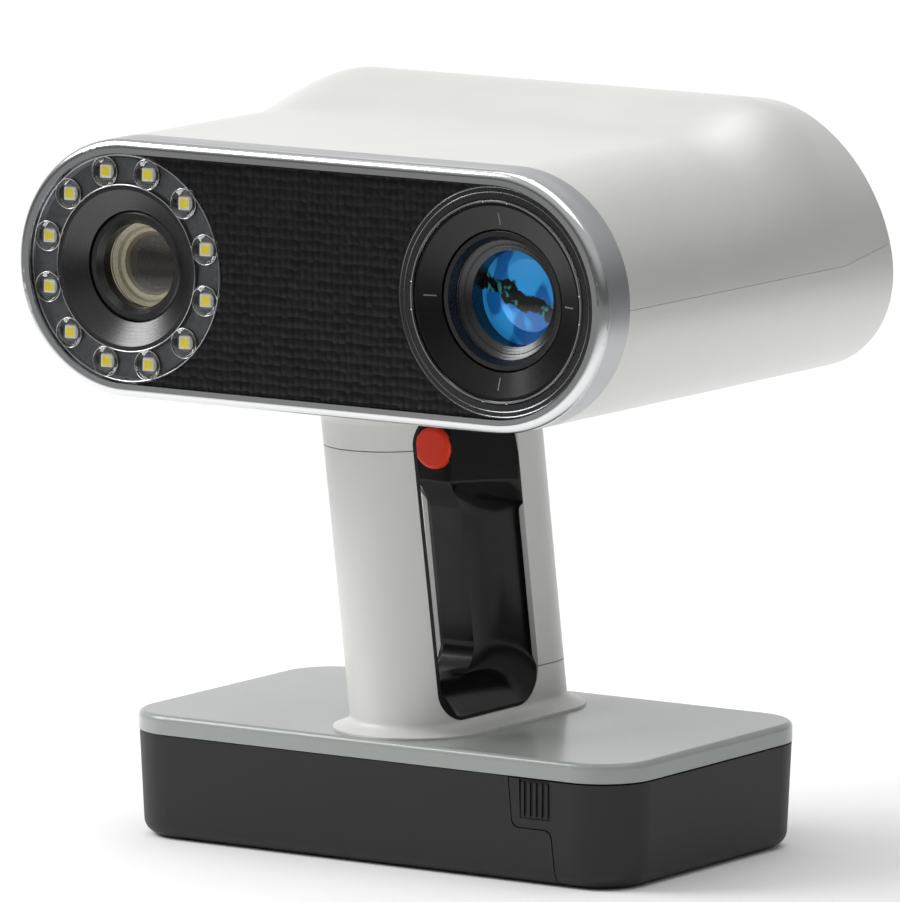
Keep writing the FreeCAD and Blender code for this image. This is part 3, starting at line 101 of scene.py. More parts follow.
# ---------------------------------------------------------------- node helpers
def add(tree, kind, settings=None, links=None, **inputs):
    """Adds a node, sets its properties and inputs, and links other sockets into it."""
    made = tree.nodes.new(kind)
    for name, value in (settings or {}).items():
        setattr(made, name, value)
    for name, value in inputs.items():
        made.inputs[name.replace("_", " ")].default_value = value
    for name, source in (links or {}).items():
        made_input = made.inputs[name]
        tree.links.new(source, made_input)
    return made


def start(name):
    """A new material with an empty tree, its surface shader and its place coordinates."""
    made = bpy.data.materials.new(name)
    made.use_nodes = True
    tree = made.node_tree
    tree.nodes.clear()
    shader = add(tree, "ShaderNodeBsdfPrincipled")
    add(tree, "ShaderNodeOutputMaterial", links={"Surface": shader.outputs["BSDF"]})
    place = add(tree, "ShaderNodeTexCoord").outputs["Object"]
    return made, tree, shader, place


def settle(shader, **values):
    """Sets the shader's own sockets."""
    for name, value in values.items():
        shader.inputs[name.replace("_", " ")].default_value = value


def grain(tree, place, size, detail=2.0, stretch=(1, 1, 1)):
    """Noise with features of that size in metres; a larger stretch draws it out along an axis."""
    spread = add(tree, "ShaderNodeMapping", links={"Vector": place},
                 Scale=tuple(1 / (size * s) for s in stretch))
    return add(tree, "ShaderNodeTexNoise", links={"Vector": spread.outputs["Vector"]},
               Scale=1.0, Detail=detail, Roughness=0.5).outputs["Fac"]


def ramped(tree, source, low, high, to_low, to_high):
    return add(tree, "ShaderNodeMapRange", links={"Value": source}, From_Min=low, From_Max=high,
               To_Min=to_low, To_Max=to_high).outputs["Result"]


def bump(tree, shader, height, distance, strength=1.0):
    made = add(tree, "ShaderNodeBump", links={"Height": height}, Strength=strength, Distance=distance)
    tree.links.new(made.outputs["Normal"], shader.inputs["Normal"])
    return made


def tinted(tree, shader, factor, dark, light):
    """Base colour between two hex values."""
    mix = add(tree, "ShaderNodeMix", settings={"data_type": "RGBA"}, links={"Factor": factor})
    mix.inputs[6].default_value = linear(dark)
    mix.inputs[7].default_value = linear(light)
    tree.links.new(mix.outputs[2], shader.inputs["Base Color"])
    return mix


def tone(tree, factor, dark, light):
    """A colour between two codes, chosen by a 0 to 1 factor."""
    mix = add(tree, "ShaderNodeMix", settings={"data_type": "RGBA"}, links={"Factor": factor})
    mix.inputs[6].default_value = linear(dark)
    mix.inputs[7].default_value = linear(light)
    return mix.outputs[2]


def shade_hex(code, factor):
    """The same hex colour, darker or lighter by a factor."""
    return "".join(f"{max(0, min(255, round(int(code[i:i + 2], 16) * factor))):02X}" for i in (0, 2, 4))


# ---------------------------------------------------------------- materials
def sprayed_paint(name, code, rough=0.3, coat=0.35, flake=0.0):
    """Two-layer paint on moulded ABS: an even colour with a faint ripple and a soft gloss.

    With aluminium flake in it the paint is silver: it darkens and brightens with what it faces.
    """
    made, tree, shader, place = start(name)
    settle(shader, IOR=1.5, Coat_Weight=coat, Coat_Roughness=0.1, Metallic=flake)
    ripple = grain(tree, place, sizes().peel_size, 2.0)
    cloud = grain(tree, place, 30 * MM, 3.0)
    tinted(tree, shader, cloud, shade_hex(code, 0.985), shade_hex(code, 1.01))
    tree.links.new(ramped(tree, cloud, 0.3, 0.7, rough - 0.02, rough + 0.03), shader.inputs["Roughness"])
    bump(tree, shader, ripple, 0.01 * MM, 0.2)
    return made


def moulded_abs(name, code, rough=0.45, texture=0.35 * MM, depth=0.012 * MM, painted_light=0.0):
    """ABS from a spark-eroded mould: fine even grain; painted_light is painted light, an emission in the
    part's own colour that brightens it.
    """
    made, tree, shader, place = start(name)
    settle(shader, IOR=1.53, Specular_IOR_Level=0.35, Emission_Color=linear(code),
           Emission_Strength=painted_light)
    fine = grain(tree, place, texture, 2.0)
    cloud = grain(tree, place, 22 * MM, 3.0)
    tinted(tree, shader, cloud, shade_hex(code, 0.96), shade_hex(code, 1.04))
    tree.links.new(ramped(tree, fine, 0.3, 0.7, rough - 0.04, rough + 0.05), shader.inputs["Roughness"])
    bump(tree, shader, fine, depth, 0.5)
    return made


def soft_touch_black(name, code):
    """Soft-touch coat on ABS: a dark satin surface with broad soft highlights."""
    made, tree, shader, place = start(name)
    settle(shader, IOR=1.5, Specular_IOR_Level=0.18, Coat_Weight=0.18, Coat_Roughness=0.12)
    cloud = grain(tree, place, 9 * MM, 1.0)
    fine = grain(tree, place, 0.4 * MM)
    tinted(tree, shader, cloud, shade_hex(code, 0.8), shade_hex(code, 1.15))
    tree.links.new(ramped(tree, cloud, 0.3, 0.7, 0.2, 0.27), shader.inputs["Roughness"])
    bump(tree, shader, fine, 0.002 * MM, 0.1)
    return made


def brushed_aluminium():
    """Turned and brushed aluminium ring whose front edge is diamond-cut bright."""
    made, tree, shader, place = start("brushed aluminium, bright-cut lip")
    settle(shader, Metallic=1.0, Anisotropic=0.4)
    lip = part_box("front_bezel")[0].y
    apart = add(tree, "ShaderNodeSeparateXYZ", links={"Vector": place})
    lines = grain(tree, place, sizes().brush_pitch, 2.0, (60, 1, 60))
    band = ramped(tree, apart.outputs["Y"], lip + 2.6 * MM, lip + 3.4 * MM, 0.0, 1.0)
    tinted(tree, shader, band, "DEDFE0", "C2C4C6")
    rough = ramped(tree, lines, 0.3, 0.7, 0.28, 0.4)
    mix = add(tree, "ShaderNodeMix", links={"Factor": band, "B": rough})
    mix.inputs[2].default_value = 0.16
    tree.links.new(mix.outputs[0], shader.inputs["Roughness"])
    bump(tree, shader, lines, 0.01 * MM, 0.12)
    return made


def plain_metal(name, code, rough=0.3, grain_size=0.3 * MM, stretch=(1, 1, 1)):
    """Machined metal with a fine tool grain."""
    made, tree, shader, place = start(name)
    settle(shader, Metallic=1.0)
    fine = grain(tree, place, grain_size, 2.0, stretch)
    tinted(tree, shader, fine, shade_hex(code, 0.92), code)
    tree.links.new(ramped(tree, fine, 0.3, 0.7, rough * 0.85, rough * 1.15), shader.inputs["Roughness"])
    bump(tree, shader, fine, 0.01 * MM, 0.15)
    return made


def anodised_black(name, rough=0.32, thread=0.7 * MM):
    """Black anodised aluminium: dark, with turned rings that catch thin lines of light."""
    made, tree, shader, place = start(name)
    settle(shader, IOR=1.6, Specular_IOR_Level=0.6)
    apart = add(tree, "ShaderNodeSeparateXYZ", links={"Vector": place})
    turns = add(tree, "ShaderNodeMath", settings={"operation": "MULTIPLY"},
                links={0: apart.outputs["Y"]})
    turns.inputs[1].default_value = 2 * math.pi / thread
    ridge = add(tree, "ShaderNodeMath", settings={"operation": "SINE"}, links={0: turns.outputs[0]})
    fine = grain(tree, place, 0.5 * MM)
    tinted(tree, shader, fine, "0B0B0C", "161617")
    tree.links.new(ramped(tree, fine, 0.3, 0.7, rough - 0.05, rough + 0.05), shader.inputs["Roughness"])
    bump(tree, shader, ridge.outputs[0], 0.03 * MM, 0.35)
    return made


def scaled_panel():
    """Black moulded panel with rows of small drawn-out scales, each row shifted by half."""
    made, tree, shader, place = start("moulded black panel, scale texture")
    settle(shader, IOR=1.5, Specular_IOR_Level=0.25)
    pitch = sizes().scale_pitch
    spread = add(tree, "ShaderNodeMapping", links={"Vector": place}, Scale=(1 / pitch, 1.0, 0.8 / pitch))
    cells = add(tree, "ShaderNodeTexVoronoi", settings={"feature": "F1"},
                links={"Vector": spread.outputs["Vector"]}, Scale=1.0, Randomness=0.3)
    warp = grain(tree, place, 4 * MM, 1.0)
    # Painted shade: the colour darkens from the middle of each scale towards the gaps between the scales.
    tinted(tree, shader, cells.outputs["Distance"], "151516", "050506")
    tree.links.new(ramped(tree, warp, 0.3, 0.7, 0.3, 0.42), shader.inputs["Roughness"])
    bump(tree, shader, cells.outputs["Distance"], -0.6 * MM, 0.8)
    return made


def clear_moulding(name, code="EEF2F4", rough=0.05):
    """Moulded clear polycarbonate: see-through, with slight flow marks."""
    made, tree, shader, place = start(name)
    settle(shader, IOR=1.49, Transmission_Weight=1.0, Base_Color=linear(code))
    flow = grain(tree, place, 6 * MM, 2.0)
    tree.links.new(ramped(tree, flow, 0.3, 0.7, rough * 0.6, rough * 1.4), shader.inputs["Roughness"])
    bump(tree, shader, flow, 0.02 * MM, 0.2)
    return made


def coated_glass(name, tint, coat_tint):
    """Optical glass with an anti-reflection coat that colours its reflections."""
    made, tree, shader, place = start(name)
    settle(shader, IOR=1.6, Transmission_Weight=1.0, Specular_Tint=linear(coat_tint),
           Coat_Weight=0.6, Coat_Tint=linear(coat_tint), Coat_Roughness=0.02)
    haze = grain(tree, place, 5 * MM, 2.0)
    tinted(tree, shader, haze, tint, shade_hex(tint, 0.92))
    tree.links.new(ramped(tree, haze, 0.3, 0.7, 0.01, 0.03), shader.inputs["Roughness"])
    return made


def coated_glass_painted_reflection(name, centre):
    """Lens with a strong blue coat and a painted reflection: two blue fields and a dark band between them,
    lit by emission in the same colours.
    """
    made, tree, shader, place = start(name)
    settle(shader, IOR=1.6, Metallic=0.35, Coat_Weight=0.5, Coat_Roughness=0.01, Emission_Strength=0.28)
    from_middle = add(tree, "ShaderNodeVectorMath", settings={"operation": "SUBTRACT"}, links={0: place})
    from_middle.inputs[1].default_value = centre
    along = add(tree, "ShaderNodeVectorMath", settings={"operation": "DOT_PRODUCT"},
                links={0: from_middle.outputs["Vector"]})
    along.inputs[1].default_value = (0.35, 0, 1)
    ragged = ramped(tree, grain(tree, place, 5 * MM, 3.0), 0.2, 0.8, -3.2 * MM, 3.2 * MM)
    height = add(tree, "ShaderNodeMath", settings={"operation": "ADD"},
                 links={0: along.outputs["Value"], 1: ragged})
    apart = add(tree, "ShaderNodeMath", settings={"operation": "ABSOLUTE"}, links={0: height.outputs[0]})
    # Painted reflection: blue fields either side of a dark band with teal spots, fixed across the glass.
    painted_reflection_field = ramped(tree, apart.outputs[0], 2.9 * MM, 3.6 * MM, 0.0, 1.0)
    spots = ramped(tree, grain(tree, place, 2.6 * MM, 1.0), 0.56, 0.62, 0.0, 1.0)
    shades = ramped(tree, grain(tree, place, 7 * MM, 1.0, (1, 1, 2)), 0.46, 0.54, 0.0, 1.0)
    blue = tone(tree, shades, "1465B0", "36A2EC")
    band = tone(tree, spots, "050506", "2C7D78")
    mixed = add(tree, "ShaderNodeMix", settings={"data_type": "RGBA"}, links={"Factor": painted_reflection_field})
    tree.links.new(band, mixed.inputs[6])
    tree.links.new(blue, mixed.inputs[7])
    tree.links.new(mixed.outputs[2], shader.inputs["Base Color"])
    # The emission in these colours is painted light.
    tree.links.new(mixed.outputs[2], shader.inputs["Emission Color"])
    tree.links.new(ramped(tree, shades, 0, 1, 0.04, 0.08), shader.inputs["Roughness"])
    return made


def emissive_lining_painted(name, code, painted_light):
    """Anodised lining of a lens tube, made bright by an emission in its own colour: painted light for the
    light that the glass gathers on it.
    """
    made, tree, shader, place = start(name)
    # The emission is painted light; the lining is no lamp.
    settle(shader, IOR=1.5, Metallic=0.3, Emission_Color=linear(code), Emission_Strength=painted_light)
    fine = grain(tree, place, 0.8 * MM, 2.0)
    tinted(tree, shader, fine, shade_hex(code, 0.8), code)
    tree.links.new(ramped(tree, fine, 0.3, 0.7, 0.25, 0.4), shader.inputs["Roughness"])
    return made


def solder_mask(name, code):
    """Printed circuit board: a glossy mask over faint copper tracks."""
    made, tree, shader, place = start(name)
    settle(shader, IOR=1.55, Coat_Weight=0.3)
    spread = add(tree, "ShaderNodeMapping", links={"Vector": place}, Scale=(450, 450, 450))
    tracks = add(tree, "ShaderNodeTexVoronoi", settings={"feature": "F1", "distance": "CHEBYCHEV"},
                 links={"Vector": spread.outputs["Vector"]}, Scale=1.0)
    tinted(tree, shader, tracks.outputs["Distance"], shade_hex(code, 1.15), shade_hex(code, 0.85))
    tree.links.new(ramped(tree, tracks.outputs["Distance"], 0, 1, 0.25, 0.4), shader.inputs["Roughness"])
    bump(tree, shader, tracks.outputs["Distance"], 0.03 * MM, 0.4)
    return made


def phosphor():
    """Yellow phosphor on a light-emitting chip: a flat matt square with a fine powder grain, brightened by
    emission that is painted light, since the chip is no lamp here.
    """
    made, tree, shader, place = start("yellow phosphor, cast, painted light")
    settle(shader, IOR=1.5, Emission_Strength=0.45, Emission_Color=linear("E8D23A"))
    fine = grain(tree, place, 0.3 * MM)
    tinted(tree, shader, fine, "D9BE22", "F0DF58")
    tree.links.new(ramped(tree, fine, 0.3, 0.7, 0.5, 0.7), shader.inputs["Roughness"])
    return made


def cover_glass():
    """Black-backed chemically strengthened glass: a deep mirror with a hint of finger haze."""
    made, tree, shader, place = start("strengthened glass, black printed back")
    settle(shader, IOR=1.52, Coat_Weight=1.0, Coat_Roughness=0.02)
    haze = grain(tree, place, 25 * MM, 4.0)
    tinted(tree, shader, haze, "060708", "0B0C0E")
    tree.links.new(ramped(tree, haze, 0.3, 0.7, 0.04, 0.12), shader.inputs["Roughness"])
    return made


def moulded_rubber():
    """Moulded rubber: matt and slightly uneven."""
    made, tree, shader, place = start("moulded rubber")
    settle(shader, IOR=1.5)
    fine = grain(tree, place, 0.6 * MM, 3.0)
    tinted(tree, shader, fine, "141414", "1E1E1E")
    tree.links.new(ramped(tree, fine, 0.3, 0.7, 0.7, 0.85), shader.inputs["Roughness"])
    bump(tree, shader, fine, 0.03 * MM, 0.5)
    return made


# ---------------------------------------------------------------- studio
FLOOR_RADIUS = 1.6
FADE_START, FADE_END = 0.38, 0.85   # the floor fades out between these distances
SKY_TOP, SKY_WHITE, SKY_GREY, SKY_UNDER = 0.5, 1.02, 0.12, 0.26
BACKDROP = (-0.56, 0.83, 0.0)  # direction of the white paper wall from the object
LAMPS = (  # name, place, (width, height), watts, aim
    ("key", (-1.3, -0.7, 1.3), (1.0, 1.0), 27.0, (0, 0, 0.12)),
    ("top", (0.1, 0.2, 1.7), (1.9, 1.4), 12.0, (0, 0, 0.1)))


CAMERA_LENS, CAMERA_SENSOR = 494.63, 36.0   # millimetres
CAMERA_PLACE = (2.1119, -3.1511, 0.6925)
CAMERA_DOWN, CAMERA_TURN = 8.552, 33.9      # degrees


def fading_paper():
    """White studio paper whose far edge fades into the white room."""
    made, tree, shader, place = start("white studio paper")
    tinted(tree, shader, grain(tree, place, 0.4, 3.0), "F9F9F9", "FCFCFC")
    settle(shader, Roughness=0.9, Specular_IOR_Level=0.1)
    far = add(tree, "ShaderNodeVectorMath", settings={"operation": "LENGTH"}, links={"Vector": place})
    fade = ramped(tree, far.outputs["Value"], FADE_START, FADE_END, 0.0, 1.0)
    clear = add(tree, "ShaderNodeBsdfTransparent")
    mix = add(tree, "ShaderNodeMixShader", links={0: fade, 1: shader.outputs["BSDF"],
                                                  2: clear.outputs["BSDF"]})
    out = next(n for n in tree.nodes if n.type == "OUTPUT_MATERIAL")
    tree.links.new(mix.outputs["Shader"], out.inputs["Surface"])
    return made


def studio_sky():
    """A room with one white paper wall, grey sides near eye level and a soft bright ceiling."""
    sky = bpy.data.worlds.new("studio")
    sky.use_nodes = True
    tree = sky.node_tree
    tree.nodes.clear()
    place = add(tree, "ShaderNodeTexCoord").outputs["Generated"]
    height = add(tree, "ShaderNodeSeparateXYZ", links={"Vector": place}).outputs["Z"]
    facing = add(tree, "ShaderNodeVectorMath", settings={"operation": "DOT_PRODUCT"}, links={0: place})
    facing.inputs[1].default_value = BACKDROP
    grey = ramped(tree, height, -0.12, -0.02, SKY_UNDER, SKY_GREY)
    wall = ramped(tree, facing.outputs["Value"], 0.45, 0.85, 0.0, 1.0)
    low = add(tree, "ShaderNodeMix", links={"Factor": wall, "A": grey})
    low.inputs["B"].default_value = SKY_WHITE
    ceiling = ramped(tree, height, 0.12, 0.5, 0.0, 1.0)
    level = add(tree, "ShaderNodeMix", links={"Factor": ceiling, "A": low.outputs[0]})
    level.inputs["B"].default_value = SKY_TOP
    light = add(tree, "ShaderNodeBackground", links={"Strength": level.outputs[0]}, Color=linear("FFFFFF"))
    add(tree, "ShaderNodeOutputWorld", links={"Surface": light.outputs["Background"]})
    return sky


# ---------------------------------------------------------------- giving finishes to CAD nodes
def dress(material, *names):
    """Gives CAD nodes one material."""
    for name in names:
        slots = NODES[name].data.materials
        slots.clear()
        slots.append(material)


# ---------------------------------------------------------------- making small pieces
def middle(name):
    """The middle of a CAD node's box."""
    low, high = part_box(name)
    return (low + high) / 2


def half_width(name):
    """Half of a CAD node's width along X, which is the radius of a round piece."""
    low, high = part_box(name)
    return (high.x - low.x) / 2


def placed(name, made, material, body="scanner"):
    """Turns a bmesh into a piece that rides on a body."""
    mesh = bpy.data.meshes.new(name)
    bmesh.ops.recalc_face_normals(made, faces=made.faces)
    made.to_mesh(mesh)
    made.free()
    for face in mesh.polygons:
        face.use_smooth = True
    mesh.set_sharp_from_angle(angle=math.radians(35))
    mesh.materials.append(material)
    piece = bpy.data.objects.new(name, mesh)
    bpy.context.scene.collection.objects.link(piece)
    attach(piece, body)
    return piece


def lathe(made, centre, profile, steps=96):
    """Adds a closed profile of (y, radius) points turned about an axis along Y through centre."""
    rings = []
    for i in range(steps):
        turn = 2 * math.pi * i / steps
        rings.append([made.verts.new((centre[0] + r * math.cos(turn), y, centre[2] + r * math.sin(turn)))
                      for y, r in profile])
    count = len(profile)
    for i in range(steps):
        near, far = rings[i], rings[(i + 1) % steps]
        for j in range(count):
            k = (j + 1) % count
            made.faces.new((near[j], near[k], far[k], far[j]))


def hoop(made, centre, y, radius, wire, steps=96, sides=10):
    """Adds a round wire ring that lies across Y."""
    turns = [2 * math.pi * j / sides for j in range(sides)]
    profile = [(y + wire * math.sin(turn), radius + wire * math.cos(turn)) for turn in turns]
    lathe(made, centre, profile, steps)


def slab(made, corners, depth):
    """Adds a plate from four corners, thickened along +Y."""
    front = [made.verts.new(c) for c in corners]
    back = [made.verts.new((c[0], c[1] + depth, c[2])) for c in corners]
    made.faces.new(front)
    made.faces.new(back[::-1])
    for i in range(4):
        k = (i + 1) % 4
        made.faces.new((front[i], back[i], back[k], front[k]))


def rounded(piece, width):
    """Rounds a piece's edges."""
    edge = piece.modifiers.new("edge", "BEVEL")
    edge.width = width
    edge.segments = 3
    edge.limit_method = "ANGLE"
    return piece


# ---------------------------------------------------------------- sizes of the small pieces
DOME_SHARE = 0.46            # dome radius as a share of the ring's width
EDGE_DEPTH = 1.4 * MM        # moulded edges lie this far behind the ring's front
CHIP_HALF = 1.3 * MM         # half the width of a chip's yellow face
LININGS = (  # colour, front radius, back radius (shares of the glass), start, end (shares of the tube)
    ("D6D3C2", 0.98, 0.86, 0.0, 0.22), ("A09C88", 0.86, 0.78, 0.22, 0.4),
    ("CBC7B2", 0.78, 0.7, 0.4, 0.55), ("645945", 0.7, 0.62, 0.55, 0.75),
    ("120B07", 0.62, 0.5, 0.75, 1.0))
LINING_STEP = 0.03           # width of each lining's front edge, as a share of the glass radius
CAMERA_RINGS = ((0.9, 1.22), (1.5, 1.15), (2.4, 1.06))  # depth in mm, share of the glass radius
STEP_RINGS = ((0.12, 1.36), (0.4, 1.25), (0.62, 1.14), (0.8, 1.04))  # shares of depth and radius
CONE_LIP, CONE_DEPTH = 0.8 * MM, 2.7 * MM
MARK_START, MARK_END = 1.6 * MM, 5.4 * MM   # from the cone's throat outward
PIN_SPREAD = math.radians(8)


# ---------------------------------------------------------------- operators
class SCANNER_OT_front(bpy.types.Operator):
    """Bright-cut ring and scaled panel"""
    bl_idname = "scanner.front"
    bl_label = "Front Ring and Panel"

    def execute(self, context):
        dress(brushed_aluminium(), "front_bezel")
        dress(scaled_panel(), "front_panel")
        return {"FINISHED"}


class SCANNER_OT_ring_light(bpy.types.Operator):
    """Smoked ring with domes, its board and chips, their yellow faces and cups, and bright hoops that
    paint highlights on its moulded rims; chips and faces shine by painted light
    """
    bl_idname = "scanner.ring_light"
    bl_label = "Ring Light"

    def execute(self, context):
        dress(clear_moulding("moulded smoked polycarbonate", "D6D8DA"), "led_ring_lens")
        # The white chip housings shine by emission: painted light where the domes shade them.
        dress(emissive_lining_painted("white ceramic-filled moulding, painted light", "F2F2EE", 0.35), "led_chips")
        dress(solder_mask("grey solder mask", "8E8F92"), "led_board")
        centre, outer = middle("led_ring_lens"), half_width("led_ring_lens")
        inner = half_width("camera_hood")
        circle, dome = (outer + inner) / 2, (outer - inner) * DOME_SHARE
        edge_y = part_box("led_ring_lens")[0].y + EDGE_DEPTH
        chip_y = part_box("led_chips")[0].y
        face_y, cup_y, cup_back = chip_y - 0.15 * MM, chip_y + 0.1 * MM, chip_y + 0.3 * MM
        rim, hole = dome * 0.99, dome * 0.55
        faces, cups, edges = bmesh.new(), bmesh.new(), bmesh.new()
        for i in range(sizes().ring_lights):
            turn = 2 * math.pi * (i + 0.5) / sizes().ring_lights
            x, z = centre.x + circle * math.cos(turn), centre.z + circle * math.sin(turn)
            corners = [(x + across * CHIP_HALF, face_y, z + up * CHIP_HALF)
                       for across, up in ((-1, -1), (1, -1), (1, 1), (-1, 1))]
            slab(faces, corners, 0.3 * MM)
            # Bright hoop at each dome's rim: a painted highlight on the smoked moulding.
            hoop(edges, (x, 0, z), edge_y, dome, sizes().highlight_wire, 40, 8)
            lathe(cups, (x, 0, z), [(cup_y, rim), (cup_y, hole), (cup_back, hole), (cup_back, rim)], 32)
        # Bright hoops at the ring's inner and outer rims: painted highlights as well.
        for radius in (inner + 0.35 * MM, outer - 0.5 * MM):
            hoop(edges, centre, edge_y, radius, sizes().highlight_wire * 1.3)
        rounded(placed("led_phosphor", faces, phosphor()), 0.3 * MM)
        placed("led_cups", cups, moulded_abs("black moulded cup", "101011", 0.25))
        painted_edge_highlight = plain_metal("painted highlight on moulded edge", "C9CBCE", 0.2)
        placed("ring_light_edge_highlights", edges, painted_edge_highlight)
        return {"FINISHED"}


class SCANNER_OT_camera(bpy.types.Operator):
    """Hood, barrel, retaining rings, tube lining and glass on the left; the lining and inner glass shine
    by emission, which is painted light
    """
    bl_idname = "scanner.camera"
    bl_label = "Camera Optics"

    def execute(self, context):
        black = anodised_black("black anodised aluminium, turned")
        dress(black, "camera_hood", "camera_lens_barrel", "camera_iris")
        dress(coated_glass("coated optical glass", "FFFFFF", "FBF8F0"), "camera_front_lens")
        # The inner glass is drawn as an opaque dark brown surface with faint emission, which is painted
        # light.
        dress(emissive_lining_painted("inner glass drawn opaque dark brown, faint painted light", "1C0E07", 0.02), "camera_rear_lens")
        centre, bore = middle("camera_front_lens"), half_width("camera_front_lens")
        tube_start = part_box("camera_front_lens")[1].y + 0.1 * MM
        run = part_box("camera_iris")[0].y - tube_start - 0.1 * MM
        for i, (code, wide, slim, begin, end) in enumerate(LININGS):
            made = bmesh.new()
            y, far = tube_start + run * begin, tube_start + run * end
            lathe(made, centre, [(y, bore * wide), (y, bore * (wide - LINING_STEP)), (far, bore * slim),
                                 (far, bore * wide)])
            # Each lining emits its own colour: painted light, strong on the pale front linings and nearly
            # none on the near-black back one.
            finish = emissive_lining_painted(f"champagne anodised lining, painted light {i + 1}", code, 0.3)
            placed(f"camera_lining_{i + 1}", made, finish)

        rings = bmesh.new()
        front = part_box("camera_lens_barrel")[0].y
        for depth, share in CAMERA_RINGS:
            hoop(rings, centre, front + depth * MM, bore * share, 0.32 * MM)
        placed("camera_retaining_rings", rings, black)
        return {"FINISHED"}


class SCANNER_OT_projector(bpy.types.Operator):
    """Rings, cone, aiming marks, barrel and glass on the right; two bright shroud rings are painted edge
    highlights and the front glass carries a painted reflection
    """
    bl_idname = "scanner.projector"
    bl_label = "Projector Optics"

    def execute(self, context):
        black = anodised_black("black anodised aluminium, fine turned", 0.3, 0.5 * MM)
        dress(black, "projector_lens_barrel", "projector_shroud")
        dress(moulded_abs("glossy black cone", "0F0F10", 0.22, 0.5 * MM), "projector_cone")
        bright = plain_metal("polished nickel plate", "D8DADC", 0.12)
        dress(bright, "projector_trim_ring")
        dress(coated_glass_painted_reflection("blue coated optical glass, painted reflection", middle("projector_front_lens")),
              "projector_front_lens")
        dress(coated_glass("inner blue coated glass", "8CC8FF", "2E8BEF"),
              "projector_middle_lens", "projector_rear_lens")

        centre, cone_front = middle("projector_cone"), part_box("projector_cone")[0].y
        rim, throat = half_width("projector_cone") - CONE_LIP, half_width("projector_lens_barrel")

        def on_cone(radius):
            return cone_front + CONE_DEPTH * (rim - radius) / (rim - throat) - 0.08 * MM

        marks = bmesh.new()
        near, far, half = throat + MARK_START, throat + MARK_END, sizes().tick_width / 2
        for along in ((1, 0), (0, 1), (-1, 0), (0, -1)):
            corners = []
            for radius, side in ((near, -half), (far, -half), (far, half), (near, half)):
                corners.append((centre.x + along[0] * radius - along[1] * side, on_cone(radius),
                                centre.z + along[1] * radius + along[0] * side))
            slab(marks, corners, 0.3 * MM)
        grey = moulded_abs("grey printed mark", "77797C", 0.5)
        rounded(placed("aiming_marks", marks, grey), 0.05 * MM)

        # Two bright hoops on the black shroud are painted highlights of its edges.
        rings = bmesh.new()
        trim, outer = half_width("projector_trim_ring"), half_width("projector_shroud")
        for radius in (trim + 2.3 * MM, outer - 0.6 * MM):
            hoop(rings, centre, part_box("projector_shroud")[0].y, radius, sizes().highlight_wire)
        placed("shroud_edge_highlights", rings, plain_metal("painted highlight line", "9EA0A3", 0.2))

        pins = bmesh.new()
        circle, y = trim - 0.4 * MM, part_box("projector_trim_ring")[0].y
        profile = [(y - 0.25 * MM, 0.02 * MM), (y - 0.15 * MM, 0.3 * MM),
                   (y + 0.3 * MM, 0.42 * MM), (y + 0.5 * MM, 0.02 * MM)]
        for quarter in range(4):
            for side in (-1, 1):
                turn = quarter * math.pi / 2 + side * PIN_SPREAD
                spot = (centre.x + circle * math.cos(turn), 0, centre.z + circle * math.sin(turn))
                lathe(pins, spot, profile, 14)
        placed("trim_pins", pins, bright)

        steps = bmesh.new()
        mouth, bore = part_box("projector_lens_barrel")[0].y, half_width("projector_front_lens")
        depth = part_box("projector_front_lens")[0].y - mouth
        for share, radius in STEP_RINGS:
            hoop(steps, centre, mouth + depth * share, bore * radius, 0.3 * MM)
        placed("projector_step_rings", steps, black)
        return {"FINISHED"}


class SCANNER_OT_shells(bpy.types.Operator):
    """Sprayed shells of the head"""
    bl_idname = "scanner.shells"
    bl_label = "Head Shells"

    def execute(self, context):
        dress(sprayed_paint("sprayed silver paint on ABS", colours().shell, 0.42, 0.2, 0.5),
              "head_upper_shell", "head_lower_shell")
        return {"FINISHED"}


class SCANNER_OT_screen(bpy.types.Operator):
    """Rear frame, glass and key"""
    bl_idname = "scanner.screen"
    bl_label = "Rear Screen"

    def execute(self, context):
        dress(moulded_abs("moulded black ABS, rear frame", "232324", 0.4), "screen_frame")
        dress(cover_glass(), "touch_glass")
        dress(moulded_abs("display module, black film", "101114", 0.3), "display_panel")
        dress(plain_metal("turned aluminium key", "C4C6C8", 0.25), "power_key")
        return {"FINISHED"}


class SCANNER_OT_handle(bpy.types.Operator):
    """Handle shells, grip and trigger"""
    bl_idname = "scanner.handle"
    bl_label = "Handle and Trigger"

    def execute(self, context):
        dress(sprayed_paint("satin paint on moulded ABS", colours().handle, 0.4, 0.15),
              "handle_upper_shell", "handle_lower_shell")
        dress(soft_touch_black("soft-touch coated grip", colours().grip), "grip_insert")
        # The trigger's emission is painted light that brightens it where the head shades it.
        dress(moulded_abs("red moulded ABS, painted light", colours().trigger, 0.45, painted_light=0.16), "trigger_button")
        return {"FINISHED"}


class SCANNER_OT_base(bpy.types.Operator):
    """Top plate, housing and battery end"""
    bl_idname = "scanner.base"
    bl_label = "Base and Battery"

    def execute(self, context):
        dress(sprayed_paint("gloss painted top plate", colours().plate, 0.24, 0.15), "base_top_plate")
        dress(moulded_abs("moulded black ABS, spark grain", colours().black, 0.5),
              "base_housing", "battery_end_cap", "battery_latch_front", "battery_latch_rear",
              "battery_case")
        dress(moulded_rubber(), "rubber_feet")
        return {"FINISHED"}


